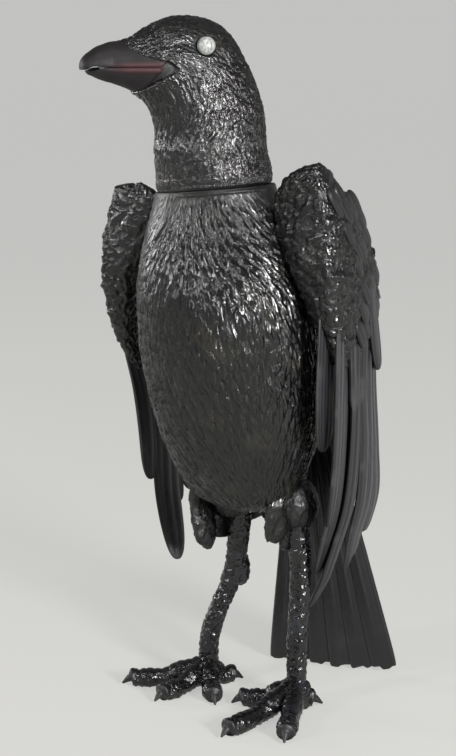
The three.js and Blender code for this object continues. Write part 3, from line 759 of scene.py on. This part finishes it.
def arm_skin(wing, seed):
    """The arm of a wing: a flat pod on the sheet, swollen at its front edge towards the body and
    hollow behind the swelling. Pebbles cover the front, strands the hollow, ridged feathers the
    outside, and two ledges cross its front."""
    columns, rings = 204, 168
    angle = around(columns)
    v = np.linspace(0, 1, rings)[:, None]
    down = 0.5 - 0.5 * np.cos(math.pi * v)
    front, back, inward, outward = ARM(down)
    close = np.clip(np.sin(math.pi * v), 0, 1) ** 0.4
    rear = 0.5 - 0.5 * np.cos(angle)
    share = 0.5 - 0.5 * np.cos(angle) * close
    thin = np.sin(angle) * (1 - 0.55 * share)
    height = wing["top"] - ARM_LENGTH * down * np.ones(columns)
    place = rear / SWELL_PLACE
    swell = wing["swell"](down)[0] * np.sqrt(place) * np.exp((1 - place * place) / 4)
    depth = (swell - inward * thin * (1 - 0.45 * np.sin(math.pi * share))) * close
    inner = np.broadcast_to(thin <= 0, height.shape)
    out = np.where(inner, -depth, outward * thin * close)
    lean = np.where(inner, wing["lean"] * depth * (1 - down) ** 2, 0)
    points = sheet(wing, mix(front, back, share), height, out)
    points[..., 2] += lean
    skin = closed(points)
    rng = np.random.default_rng(seed)
    outer = np.broadcast_to(np.sin(angle), height.shape)
    near = np.broadcast_to(rear, height.shape)

    def feathers(ring, column):
        back_edge, side = near[ring, column], outer[ring, column]
        keep = (side > -0.25) & (back_edge > 0.2)
        turn = wing["side"] * mix(0.15, 0.6, back_edge)
        width, length = mix(6, 12, back_edge) * keep, mix(10, 24, back_edge)
        return width, length, mix(1.6, 2.6, back_edge), turn, 0.4

    skin.scatter(520, feathers, rng)

    def strands(ring, column):
        side, back_edge = outer[ring, column], near[ring, column]
        keep = (side < 0.1) & (back_edge > 0.16)
        return 3.6 * keep, 17, 1.6, rng.normal(0, 0.2, len(ring)), 0

    skin.scatter(900, strands, rng)

    def pebbles(ring, column):
        keep = near[ring, column] < mix(0.30, 0.46, outer[ring, column] > 0)
        size = rng.uniform(2.6, 5.2, len(ring))
        return size * keep, size * 1.15, 0.36 * size, rng.normal(0, 0.8, len(ring)), 0

    skin.scatter(2300, pebbles, rng, bead=True, soft=0.6)
    skin.satin = ramp(0.3, 0.8, near) * ramp(-0.3, 0.3, outer) * 0.7
    ledges = 0
    for drop, width in LEDGES:
        slope = height - (wing["top"] - drop) + 0.18 * mix(front, back, share)
        ledge = 2.0 * np.exp(-(slope / width) ** 2)
        ledges = ledges + ledge * ramp(0.62, 0.4, near) * ramp(-0.1, 0.3, outer)
    lumps = noise(points, 14, seed) * 1.3 + noise(points, 4, seed + 1) * 0.45
    return skin, lumps * close + ledges * close


def vane(wing, path, widths, out, ridges, shaft, seed, rings=104, columns=36, thick=4.4):
    """One feather: a flat section carried down the sheet along a path. Its width changes evenly
    from root to tip and closes in a rounded end; the section carries ridges that wander a little
    and a raised shaft, and one edge lies lower than the other."""
    share = np.linspace(0, 1, len(path))
    line = through(np.column_stack([share, path]))
    v = (1 - (1 - np.linspace(0, 1, rings)) ** 1.5)[:, None]
    middle, height = line(v)
    step_y, step_z = line(np.minimum(v + 0.01, 1)) - line(np.maximum(v - 0.01, 0))
    long = np.hypot(step_y, step_z)
    angle = around(columns)
    end = np.clip(1 - v ** 9, 0, 1) ** 0.42 * np.clip(1 - (1 - v) ** 6, 0, 1) ** 0.4
    a = np.cos(angle)
    half = 0.5 * mix(*widths, v) * end * a
    lie = out if np.ndim(out) == 0 else mix(*out, v)
    across = 0.5 * thick * np.sin(angle) * end ** 0.6 - 1.2 * a * end
    spots = sheet(wing, middle - half * step_z / long, height + half * step_y / long, lie + across)
    skin = closed(spots)
    wander = 0.35 * np.sin(5 * v + seed) + 0.2 * np.sin(13 * v + 2 * seed)
    lines = (0.5 + 0.5 * np.cos(math.pi * ridges * a + wander)) ** 1.6
    fine = 0.5 + 0.5 * np.cos(2.7 * math.pi * ridges * a - 2 * wander)
    spine = np.exp(-((a + 0.15) / 0.11) ** 2)
    full = np.sin(math.pi * np.clip(v, 0, 1)) ** 0.35
    flat = np.sqrt(np.clip(np.abs(np.sin(angle)), 0, 1))
    skin.height = (0.75 * lines + 0.22 * fine + shaft * spine) * full * flat
    length = math.dist(path[0], path[-1])
    skin.grain = np.stack([a * 0.5 * widths[0] + 0 * v, v * length * 0.05 + 0 * a,
                           np.full(skin.height.shape, 3.0 * seed)], -1)
    skin.satin = np.full(skin.height.shape, 1.0)
    return skin, 0


def coverts(wing):
    """Three rows of ridged coverts along the back edge of the arm, each row further forward,
    higher and further out than the one before."""
    made = []
    for row in range(3):
        for k, (y, z) in enumerate(COVERT_TIPS):
            tip_y = y - 11 * row + 1.5 * math.sin(3.1 * k + row)
            tip_z = z - 417 + wing["top"] - 3 * row + 2.5 * math.sin(2.3 * k + 1.7 * row)
            path = ((tip_y - 15, tip_z + 20), (tip_y - 7, tip_z + 10), (tip_y, tip_z))
            if tip_z + 20 < wing["top"] - 12:
                out = (3.0 + 1.3 * row, 2.4 + 1.7 * row)
                made.append(vane(wing, path, (13, 13.5), out, 3 + (k + row) % 2, 0.2,
                                 11 * row + k + 1, rings=40, columns=26, thick=5))
    return made


# Tail

TAIL_ROOT = np.array((22, 46, 228.0))
TAIL_MIDDLE = np.array((21, 86, 3.0))
TAIL_WIDTH = (24, 104)
TAIL_SIDEWAYS = (96, 26, 5.0)
TAIL_LIFT = 1  # clear of the ground
TAIL_FEATHERS = 6
TAIL_ARCH = 2  # how far its sides lie below its middle


def tail_skins():
    """Tail feathers side by side: flat sections carried from the root to the lower edge, fanned
    out so that each keeps its share of the growing width. Each has a raised shaft, fine barbs
    that slant away from it and one edge that lies over its neighbour."""
    down = TAIL_MIDDLE - TAIL_ROOT
    reach = float(np.linalg.norm(down))
    across = unit(np.array(TAIL_SIDEWAYS))
    outward = unit(np.cross(down, across))
    rings, columns = 120, 46
    v = ramp(0, 1, np.linspace(0, 1, rings))[:, None]
    angle = around(columns)
    a = np.cos(angle)
    end = (np.clip(1 - v ** 5, 0, 1) * np.clip(1 - (1 - v) ** 6, 0, 1)) ** 0.035
    flat = np.sqrt(np.abs(np.sin(angle)))
    skins = []
    for i in range(TAIL_FEATHERS):
        share = (i + 0.5) / TAIL_FEATHERS - 0.5
        width = mix(*TAIL_WIDTH, v)
        aside = 0.5 * 1.3 * a * end / TAIL_FEATHERS
        out = 2.6 * np.sin(angle) * end ** 0.6 - 2 * TAIL_ARCH * abs(share) - 1.4 * a * end
        spots = np.stack([a * 9 + 0 * v, 0 * a + 0 * v, 0 * a * v + 7 * i], -1)
        torn = 1 + 0.012 * noise(spots, 4, 3) * v ** 6
        points = (TAIL_ROOT + down * (v * torn)[..., None]
                  + across * (width * (share + aside))[..., None] + outward * out[..., None])
        points[..., 2] = np.maximum(points[..., 2], TAIL_LIFT)
        skin = closed(points)
        shaft = 1.9 * np.exp(-((a + 0.1) / 0.075) ** 2) * ramp(0.98, 0.5, v)
        rim = 0.8 * np.exp(-((np.abs(a) - 0.84) / 0.1) ** 2) * (0.4 + 0.6 * ramp(0.2, 0.6, v))
        lines = 0.3 * (0.5 + 0.5 * np.cos(2.4 * math.pi * 3 * a + 2 * np.sin(6 * v + i)))
        barbs = 0.22 * (0.5 + 0.5 * np.cos(1.9 * (v * reach + 12 * np.abs(a))))
        skin.height = (shaft + rim + lines + barbs) * flat * np.clip(v * (1 - v) * 30, 0, 1)
        skin.grain = np.stack([a * 9 + 0 * v, v * reach * 0.08 + 0 * a,
                               np.full(skin.height.shape, 5.0 * i)], -1)
        skin.satin = np.full(skin.height.shape, 0.7)
        skins.append((skin, 0))
    return skins


# Legs

CLAW = 15
PLATE_LENGTH = 4.6  # of the plates across the top of a toe
LEGS = {
    "leg_right": {
        "ankle": (-38, -3),
        "shank": ((-14, 9, 178), (-16, 10, 140), (-24, 12, 92), (-35, -1, 47), (-38, -3, 12)),
        "heel": (-21, 18, 93),
        "toes": ((-90, -46), (-46, -60), (-4, -38), (-20, 20)),
    },
    "leg_left": {
        "ankle": (44, 1),
        "shank": ((40, 4, 178), (42, 4, 140), (44, 6, 112), (45, 1, 60), (44, 1, 12)),
        "heel": (42, 9, 104),
        "toes": ((3, -27), (36, -84), (79, -65), (60, 14)),
    },
}


def spline(path, t):
    """Points and directions of a smooth curve through a path, t from 0 to 1."""
    path = np.array(path, float)
    curve = through(np.column_stack([np.linspace(0, 1, len(path)), path]))
    t = np.clip(t, 0, 1)
    step = 1e-3
    spots = np.moveaxis(curve(t), 0, -1)
    ahead = np.moveaxis(curve(np.minimum(t + step, 1)) - curve(np.maximum(t - step, 0)), 0, -1)
    return spots, unit(ahead)


def limb(path, radius, rings, columns, ground=False):
    """Round sections along a path: the radius is a function of the share of the way. One that
    lies on the ground is cut off flat there."""
    t = np.linspace(0, 1, rings)
    spots, ahead = spline(path, t)
    side = np.cross((0, 0, 1.0), ahead)
    side = np.where(np.linalg.norm(side, axis=-1, keepdims=True) < 0.5, (1.0, 0, 0), side)
    side = unit(side)
    up = np.cross(ahead, side)
    angle = around(columns)
    size = radius(t)[:, None, None]
    points = (spots[:, None] + side[:, None] * np.cos(angle)[None, :, None] * size
              + up[:, None] * np.sin(angle)[None, :, None] * size)
    if ground:
        points[..., 2] = np.maximum(points[..., 2], 0)
    return closed(points)


def toe_skin(ankle, tip, seed):
    """One toe with its claw: round sections that swell into pads, plates across its top and
    pebbles on its sides, and a smooth hooked claw."""
    reach = math.dist(tip, ankle[:2])
    ahead = ((tip[0] - ankle[0]) / reach, (tip[1] - ankle[1]) / reach)
    length = reach - CLAW
    path = [(ankle[0] + ahead[0] * d, ankle[1] + ahead[1] * d, z) for d, z in (
        (0, 17), (0.3 * length, 12), (0.65 * length, 6.2), (length, 5.4),
        (length + 0.5 * CLAW, 6.4), (reach, 1.6))]

    def radius(t):
        pads = (7.8 - 1.9 * t) * (1 + 0.1 * np.cos(TURN * 3 * t / 0.8))
        hook = 4 * (1 - ramp(0.72, 1.1, t))
        size = mix(pads, hook, ramp(0.78, 0.83, t)) * np.sqrt(np.minimum(1, 12 * t))
        return size * dome((t - 0.985) / 0.015)

    rings, columns = 100, 40
    skin = limb(path, radius, rings, columns, ground=True)
    rng = np.random.default_rng(seed)
    t = np.linspace(0, 1, rings)[:, None]
    up = skin.normal[..., 2]

    def field(ring, column):
        high = skin.points[ring, column, 2] > 0.5
        keep = (t[ring, 0] < 0.76) & (up[ring, column] < 0.8) & high
        size = rng.uniform(2.4, 3.8, len(ring))
        return size * keep, size, 0.3 * size, 0, 0

    skin.scatter(420, field, rng, bead=True, soft=0.5)
    plates = 0.9 * np.sqrt(np.abs(np.sin(math.pi * t * reach / PLATE_LENGTH)))
    plates = plates * ramp(0.45, 0.8, up) * ramp(0.8, 0.74, t)
    skin.height = np.maximum(skin.height, plates * ramp(0.02, 0.08, t))
    skin.satin = np.broadcast_to(0.25 + 0.5 * ramp(0.5, 0.7, t), up.shape).copy()
    return skin, keep_up(skin)


def keep_up(skin):
    """Less relief where it would push a sole below the ground."""
    up = skin.normal[..., 2]
    sinks = np.clip(up * skin.height + skin.points[..., 2], None, 0)
    return np.where(up < -0.05, np.maximum(-skin.height, sinks / up * -1), 0)


def leg_skins(leg, seed):
    """Shank, palm, heel and toes, each a closed skin that runs into its neighbours: beads in
    rows round the shank, pebbles on the rest."""
    rng = np.random.default_rng(seed)

    def radius(t):
        return mix(8.6, 6.8, ramp(0.1, 0.6, t)) * dome(np.abs(2 * t - 1) ** 12)

    shank = limb(leg["shank"], radius, 214, 56)

    def field(ring, column):
        size = rng.uniform(2.8, 4.6, len(ring))
        return size, size * 1.1, 0.32 * size, rng.normal(0, 0.3, len(ring)), 0

    shank.scatter(1300, field, rng, bead=True, soft=0.5)
    palm = ball((*leg["ankle"], 9), (12, 12, 13), 38, 44)
    palm.points[..., 2] = np.maximum(palm.points[..., 2], 0)
    heel = ball(leg["heel"], (6, 7, 14), 30, 32)
    made = [(shank, noise(shank.points, 9, seed) * 0.5)]
    for part in (palm, heel):
        part.scatter(190, field, rng, bead=True, soft=0.5)
        made.append((part, keep_up(part)))
    return made + [toe_skin(leg["ankle"], tip, seed + k) for k, tip in enumerate(leg["toes"])]


# Finishes

def linear(value):
    """Linear colour of an sRGB hex value."""
    parts = [int(value[i:i + 2], 16) / 255 for i in (1, 3, 5)]
    return [c / 12.92 if c <= 0.04045 else ((c + 0.055) / 1.055) ** 2.4 for c in parts] + [1.0]


def add(tree, kind, into=None, **settings):
    """Adds a node with its settings; into maps its sockets to values, nodes or (node, socket)."""
    made = tree.nodes.new(kind)
    for key, value in settings.items():
        setattr(made, key, value)
    for socket, value in (into or {}).items():
        paired = isinstance(value, tuple) and isinstance(value[0], bpy.types.Node)
        source, output = value if paired else (value, 0)
        if isinstance(source, bpy.types.Node):
            tree.links.new(source.outputs[output], made.inputs[socket])
        else:
            made.inputs[socket].default_value = value
    return made


# Paints on the cast, brushed on by hand: colours in the crevices, which is painted shade, on the
# crests, which is painted sheen, and where the coat is thin; roughness where it is glossy and where
# it is satin;
# depth of the barbs in mm, or None for the setting's; spacing of the barbs and of the brushed
# coat's grit in mm; specular level
PAINTS = {
    # Thick gloss enamel on rubber: near black, so the eye sees small sharp lights on each crest
    "gloss_black_paint_on_rubber": (
        "#020202", "#0c0c0d", "#16150f", 0.15, 0.27, None, 0.8, 0.9, 0.5),
    # The same, dried thin on loose down: the lights are broad and dim
    "satin_black_paint_on_down": (
        "#020202", "#0c0c0d", "#141311", 0.26, 0.42, None, 0.8, 0.9, 0.5),
    # Gloss enamel on the short plumage of head and neck: fine glitter
    "gloss_black_paint_on_plumage": (
        "#020202", "#101011", "#161512", 0.15, 0.3, None, 0.7, 0.7, 0.5),
    # Gloss enamel on pebbles and ribs: black gaps, which are painted shade, and wet looking crests
    "gloss_black_paint_on_coverts": (
        "#020202", "#0f0f10", "#141310", 0.16, 0.34, None, 0.8, 0.8, 0.5),
    # Enamel on the covert feathers: ribs a little greyer as painted sheen, gaps darker as painted
    # shade
    "black_paint_with_sheen_on_covert_ribs": (
        "#040404", "#1d1d1f", "#1c1b19", 0.24, 0.36, 0.25, 0.6, 1.2, 0.5),
    # Satin enamel on the flight feathers: charcoal grey ridges as painted sheen, painted shade
    # between
    "satin_black_paint_on_flight_feathers": (
        "#050506", "#3a3a3d", "#2c2c2e", 0.28, 0.36, 0.25, 0.6, 1.4, 0.5),
    # Satin enamel on the tail, darker, with faint broad streaks of painted sheen down each feather
    "satin_black_paint_on_tail": (
        "#040405", "#1c1c1e", "#161618", 0.18, 0.27, 0.2, 0.7, 1.0, 0.5),
    # Gloss enamel on beaded skin: one point of light on every bead
    "gloss_black_paint_on_scaled_skin": (
        "#020202", "#0d0d0e", "#17181d", 0.12, 0.3, 0.08, 1.2, 1.0, 0.5),
    # Thin satin paint on the smooth bill: an even soft sheen with a warm brown tinge
    "satin_painted_horn": (
        "#110e10", "#141113", "#1b1516", 0.34, 0.34, 0.04, 3.0, 2.5, 0.3),
}
CLOUD_SIZE = 26  # mm, of the patches where the coat is thin
GRIT_DEPTH = 0.1  # mm


def painted(name, settings):
    """Black paint over a cast: colour from crevice to crest, near black in the crevices as painted
    shade and lighter on the crests as painted sheen; roughness from glossy to satin where the paint
    lies thin, fine barbs along each feather and the grit of the brushed coat."""
    dark, light, worn, gloss, satin, barb, barb_size, grit, specular = PAINTS[name]
    barb = settings.barb_depth if barb is None else barb
    material = bpy.data.materials.new(name)
    material.use_nodes = True
    tree = material.node_tree
    tree.nodes.clear()
    place = add(tree, "ShaderNodeTexCoord")
    space = add(tree, "ShaderNodeMapping", {"Vector": (place, "Object"), "Scale": (1000,) * 3})
    relief = add(tree, "ShaderNodeAttribute", attribute_name="relief")
    matt = add(tree, "ShaderNodeAttribute", attribute_name="satin")
    grain = add(tree, "ShaderNodeAttribute", attribute_name="grain")
    lines = add(tree, "ShaderNodeTexNoise", {
        "Vector": (grain, "Vector"), "Scale": 1 / barb_size, "Detail": 3.0, "Roughness": 0.6})
    coat = add(tree, "ShaderNodeTexNoise", {"Vector": space, "Scale": 1 / grit, "Detail": 4.0})
    cloud = add(tree, "ShaderNodeTexNoise", {
        "Vector": space, "Scale": 1 / CLOUD_SIZE, "Detail": 2.0})
    crest = add(tree, "ShaderNodeMapRange", {
        "Value": (relief, "Fac"), "From Min": 0.05, "From Max": 0.9})
    # Painted shade and sheen: near black where the relief is low, in the crevices, lighter on the
    # crests
    painted_shade_and_sheen = add(tree, "ShaderNodeMix", {
        "Factor": crest, "A": linear(dark), "B": linear(light)}, data_type="RGBA")
    where = add(tree, "ShaderNodeMapRange", {"Value": cloud, "From Min": 0.55, "From Max": 0.72})
    patch = add(tree, "ShaderNodeMix", {
        "Factor": where, "A": (painted_shade_and_sheen, "Result"), "B": linear(worn)}, data_type="RGBA")
    rough = add(tree, "ShaderNodeMix", {
        "Factor": (matt, "Fac"), "A": gloss, "B": satin}, data_type="FLOAT")
    vary = add(tree, "ShaderNodeMath", {0: coat, 1: 0.16, 2: -0.08}, operation="MULTIPLY_ADD")
    summed = add(tree, "ShaderNodeMath", {0: (rough, "Result"), 1: vary}, operation="ADD")
    deep = add(tree, "ShaderNodeMapRange", {
        "Value": (relief, "Fac"), "From Min": 0.0, "From Max": 0.3, "To Min": 0.25, "To Max": 0.0})
    final = add(tree, "ShaderNodeMath", {0: summed, 1: deep}, operation="ADD", use_clamp=True)
    first = add(tree, "ShaderNodeBump", {
        "Height": lines, "Strength": 1.0, "Distance": barb / 1000})
    second = add(tree, "ShaderNodeBump", {
        "Height": coat, "Strength": 1.0, "Distance": GRIT_DEPTH / 1000, "Normal": first})
    shader = add(tree, "ShaderNodeBsdfPrincipled", {
        "Base Color": (patch, "Result"), "Roughness": final, "Normal": second,
        "Specular IOR Level": specular, "IOR": 1.5})
    add(tree, "ShaderNodeOutputMaterial", {"Surface": shader})
    return material


def horn_finish(settings):
    """Bill: thin satin paint that lets the dark horn through, reddish brown along the gape."""
    material = painted("satin_painted_horn", settings)
    tree = material.node_tree
    shader = tree.nodes["Principled BSDF"]
    matt = add(tree, "ShaderNodeAttribute", attribute_name="satin")
    base = shader.inputs["Base Color"].links[0].from_node
    gape = add(tree, "ShaderNodeMix", {
        "Factor": (matt, "Fac"), "A": (base, "Result"), "B": tuple(settings.gape_colour)},
        data_type="RGBA")
    tree.links.new(gape.outputs["Result"], shader.inputs["Base Color"])
    return material


def pearl_finish(settings):
    """Eye: a moulded bead under pearl lacquer, which the eye sees as soft grey streaks from pole
    to pole below one clear highlight."""
    material = bpy.data.materials.new("pearl_lacquer_bead")
    material.use_nodes = True
    tree = material.node_tree
    tree.nodes.clear()
    place = add(tree, "ShaderNodeTexCoord")
    space = add(tree, "ShaderNodeMapping", {
        "Vector": (place, "Object"), "Scale": (1000, 1000, 160)})
    streak = add(tree, "ShaderNodeTexNoise", {
        "Vector": space, "Scale": 0.9, "Detail": 4.0, "Roughness": 0.7})
    tone = add(tree, "ShaderNodeValToRGB", {"Fac": streak})
    tone.color_ramp.elements[0].position = 0.32
    tone.color_ramp.elements[0].color = linear("#4c4d4c")
    tone.color_ramp.elements[1].position = 0.66
    tone.color_ramp.elements[1].color = settings.pearl_colour
    wave = add(tree, "ShaderNodeBump", {"Height": streak, "Strength": 1.0, "Distance": 0.00015})
    shader = add(tree, "ShaderNodeBsdfPrincipled", {
        "Base Color": tone, "Roughness": 0.28, "Normal": wave, "Coat Weight": 0.6})
    add(tree, "ShaderNodeOutputMaterial", {"Surface": shader})
    return material


# Operators and panel

class RavenSettings(bpy.types.PropertyGroup):
    """Fine depth, colours and lights that a user would change"""
    barb_depth: bpy.props.FloatProperty(
        name="Barb depth", description="Depth of the fine barbs on the feathers, in millimetres",
        default=0.18, min=0.0, max=1.0)
    gape_colour: bpy.props.FloatVectorProperty(
        name="Gape", description="Colour of the bill along the mouth", subtype="COLOR", size=4,
        default=linear("#361f20"), min=0.0, max=1.0)
    pearl_colour: bpy.props.FloatVectorProperty(
        name="Pearl", description="Lighter colour of the eye beads", subtype="COLOR", size=4,
        default=linear("#b4b6b2"), min=0.0, max=1.0)
    world_light: bpy.props.FloatProperty(
        name="Room light", description="Brightness of the pale surroundings", default=0.3,
        min=0.0)
    key_power: bpy.props.FloatProperty(
        name="Key light", description="Power of the small soft light", default=40.0, min=0.0,
        unit="POWER")


class RAVEN_OT_body(bpy.types.Operator):
    """Breast, belly and back, covered in overlapping feathers, with thighs and ragged hem"""
    bl_idname = "raven.body"
    bl_label = "Body"

    def execute(self, context):
        settings = context.scene.raven
        gloss = painted("gloss_black_paint_on_rubber", settings)
        piece("body_feathers", [body_skin()], gloss, "body")
        dull = painted("satin_black_paint_on_down", settings)
        tufts = hem_skins() + [thigh_skin(centre, 70 + k) for k, centre in enumerate(THIGHS)]
        piece("body_hem", tufts, dull, "body")
        return {"FINISHED"}


class RAVEN_OT_head(bpy.types.Operator):
    """Head and neck, the two halves of the bill and the eyes"""
    bl_idname = "raven.head"
    bl_label = "Head"

    def execute(self, context):
        settings = context.scene.raven
        gloss = painted("gloss_black_paint_on_plumage", settings)
        piece("head_feathers", [head_skin()], gloss, "head")
        horn = horn_finish(settings)
        for name, upper in (("bill_upper", True), ("bill_lower", False)):
            piece(name, [bill_half(upper)], horn, "head")
        pearl = pearl_finish(settings)
        for name, side in (("eye_left", 1), ("eye_right", -1)):
            bead = ball(eye_centre(side), [EYE_RADIUS] * 3, 40, 48)
            piece(name + "_bead", [(bead, 0)], pearl, name)
        return {"FINISHED"}


class RAVEN_OT_wings(bpy.types.Operator):
    """Both wings: the arm, its coverts and the flight feathers"""
    bl_idname = "raven.wings"
    bl_label = "Wings"

    def execute(self, context):
        settings = context.scene.raven
        gloss = painted("gloss_black_paint_on_coverts", settings)
        satin = painted("satin_black_paint_on_flight_feathers", settings)
        # Covert ribs: painted sheen on the ribs and painted shade in the gaps between them
        worn = painted("black_paint_with_sheen_on_covert_ribs", settings)
        for number, (name, wing) in enumerate(WINGS.items()):
            piece(name + "_arm", [arm_skin(wing, 20 + number)], gloss, name)
            piece(name + "_coverts", coverts(wing), worn, name)
            feathers = [vane(wing, *feather, k + 1) for k, feather in enumerate(wing["feathers"])]
            piece(name + "_feathers", feathers, satin, name)
        return {"FINISHED"}


class RAVEN_OT_tail(bpy.types.Operator):
    """Tail feathers side by side"""
    bl_idname = "raven.tail"
    bl_label = "Tail"

    def execute(self, context):
        satin = painted("satin_black_paint_on_tail", context.scene.raven)
        piece("tail_feathers", tail_skins(), satin, "tail")
        return {"FINISHED"}


class RAVEN_OT_legs(bpy.types.Operator):
    """Both legs with beaded skin, toes and claws"""
    bl_idname = "raven.legs"
    bl_label = "Legs"

    def execute(self, context):
        gloss = painted("gloss_black_paint_on_scaled_skin", context.scene.raven)
        for number, (name, leg) in enumerate(LEGS.items()):
            piece(name + "_skin", leg_skins(leg, 60 + 10 * number), gloss, name)
        return {"FINISHED"}


# The floor is a wide square, in metres, whose far rim rises a little past the horizon. Matt white
# paint: it glows a little, so that it stays pale where the lamps do not reach.
FLOOR_HALF = 40
FLOOR_RIM = 12
FLOOR_DROP = 0.0002
FLOOR_COLOUR = "#6a6964"
FLOOR_GLOW_COLOUR = "#f5f5f3"
FLOOR_GLOW = 0.52
ROOM_COLOUR = "#f2f2f2"

# Square lamps aimed at the middle of the bird: degrees round from its front to its left, height,
# distance and width in metres, and share of the key light's power
LAMPS = {
    "key": (72, 0.62, 1.5, 0.3, 1.0),
    "fill": (-20, 0.9, 1.8, 0.3, 0.4),
    "side": (-80, 0.6, 1.8, 0.3, 0.3),
    "top": (40, 1.9, 0.9, 0.3, 0.25),
}
LAMP_AIM = Vector((0, 0, 0.3))

# The camera stands where the viewer of the bird did
VIEW_AZIMUTH = math.radians(36)
VIEW_DISTANCE = 1300
VIEW_HEIGHT = 525
VIEW_PITCH = math.radians(11.9)
VIEW_YAW = math.atan(22 / 1770)
SENSOR = 36
LENS = 1770 / 756 * SENSOR


def add_floor():
    """Floor: four corners, and four more beyond the rim."""
    mesh = bpy.data.meshes.new("floor")
    square = ((-1, -1), (1, -1), (1, 1), (-1, 1))
    rings = ((FLOOR_HALF, 0), (10 * FLOOR_HALF, FLOOR_RIM))
    spots = [(x * half, y * half, z) for half, z in rings for x, y in square]
    rim = [((k + 1) % 4, 4 + (k + 1) % 4, 4 + k, k) for k in range(4)]
    mesh.from_pydata(spots, [], [(0, 1, 2, 3)] + rim)
    floor = bpy.data.objects.new("floor", mesh)
    bpy.context.scene.collection.objects.link(floor)
    floor.location.z = -FLOOR_DROP
    matt = bpy.data.materials.new("matt_white_paint")
    matt.use_nodes = True
    shader = matt.node_tree.nodes["Principled BSDF"]
    shader.inputs["Base Color"].default_value = linear(FLOOR_COLOUR)
    shader.inputs["Roughness"].default_value = 0.7
    shader.inputs["Emission Color"].default_value = linear(FLOOR_GLOW_COLOUR)
    shader.inputs["Emission Strength"].default_value = FLOOR_GLOW
    mesh.materials.append(matt)


def add_lights(scene):
    """Pale surroundings and the soft lamps."""
    world = bpy.data.worlds.new("pale_room")
    world.use_nodes = True
    room = world.node_tree.nodes["Background"]
    room.inputs["Color"].default_value = linear(ROOM_COLOUR)
    room.inputs["Strength"].default_value = scene.raven.world_light
    scene.world = world
    for name, (azimuth, height, distance, width, share) in LAMPS.items():
        lamp = bpy.data.lights.new(name, "AREA")
        lamp.shape = "SQUARE"
        lamp.size = width
        lamp.energy = share * scene.raven.key_power
        made = bpy.data.objects.new(name, lamp)
        scene.collection.objects.link(made)
        turn = math.radians(azimuth)
        made.location = (distance * math.sin(turn), -distance * math.cos(turn), height)
        aim = LAMP_AIM - made.location
        made.rotation_euler = aim.to_track_quat("-Z", "Y").to_euler()


def add_camera(scene):
    """Camera round from the bird's front towards its left, looking a little down."""
    lens = bpy.data.cameras.new("camera")
    lens.sensor_width = SENSOR
    lens.lens = LENS
    camera = bpy.data.objects.new("camera", lens)
    scene.collection.objects.link(camera)
    spot = (VIEW_DISTANCE * math.sin(VIEW_AZIMUTH), -VIEW_DISTANCE * math.cos(VIEW_AZIMUTH),
            VIEW_HEIGHT)
    heading = VIEW_AZIMUTH + VIEW_YAW
    ahead = Vector((-math.sin(heading) * math.cos(VIEW_PITCH),
                    math.cos(heading) * math.cos(VIEW_PITCH), -math.sin(VIEW_PITCH)))
    camera.location = (np.array(spot) + SHIFT) / 1000
    camera.rotation_euler = ahead.to_track_quat("-Z", "Y").to_euler()
    scene.camera = camera


class RAVEN_OT_stage(bpy.types.Operator):
    """Pale floor, soft lights and the camera"""
    bl_idname = "raven.stage"
    bl_label = "Stage"

    def execute(self, context):
        context.scene.view_settings.view_transform = "Standard"
        add_floor()
        add_lights(context.scene)
        add_camera(context.scene)
        return {"FINISHED"}


class RAVEN_PT_panel(bpy.types.Panel):
    """Sidebar list of the bird's pieces"""
    bl_idname = "RAVEN_PT_panel"
    bl_label = "Raven"
    bl_space_type = "VIEW_3D"
    bl_region_type = "UI"
    bl_category = "Raven"

    def draw(self, context):
        for step in STEPS:
            self.layout.operator(step.bl_idname)


STEPS = (RAVEN_OT_body, RAVEN_OT_head, RAVEN_OT_wings, RAVEN_OT_tail, RAVEN_OT_legs, RAVEN_OT_stage)
CLASSES = (RavenSettings,) + STEPS + (RAVEN_PT_panel,)


def register():
    for kind in CLASSES:
        bpy.utils.register_class(kind)
    bpy.types.Scene.raven = bpy.props.PointerProperty(type=RavenSettings)


def unregister():
    del bpy.types.Scene.raven
    for kind in reversed(CLASSES):
        bpy.utils.unregister_class(kind)


def main():
    register()
    for step in STEPS:
        group, name = step.bl_idname.split(".")
        getattr(getattr(bpy.ops, group), name)()


if __name__ == "__main__":
    main()
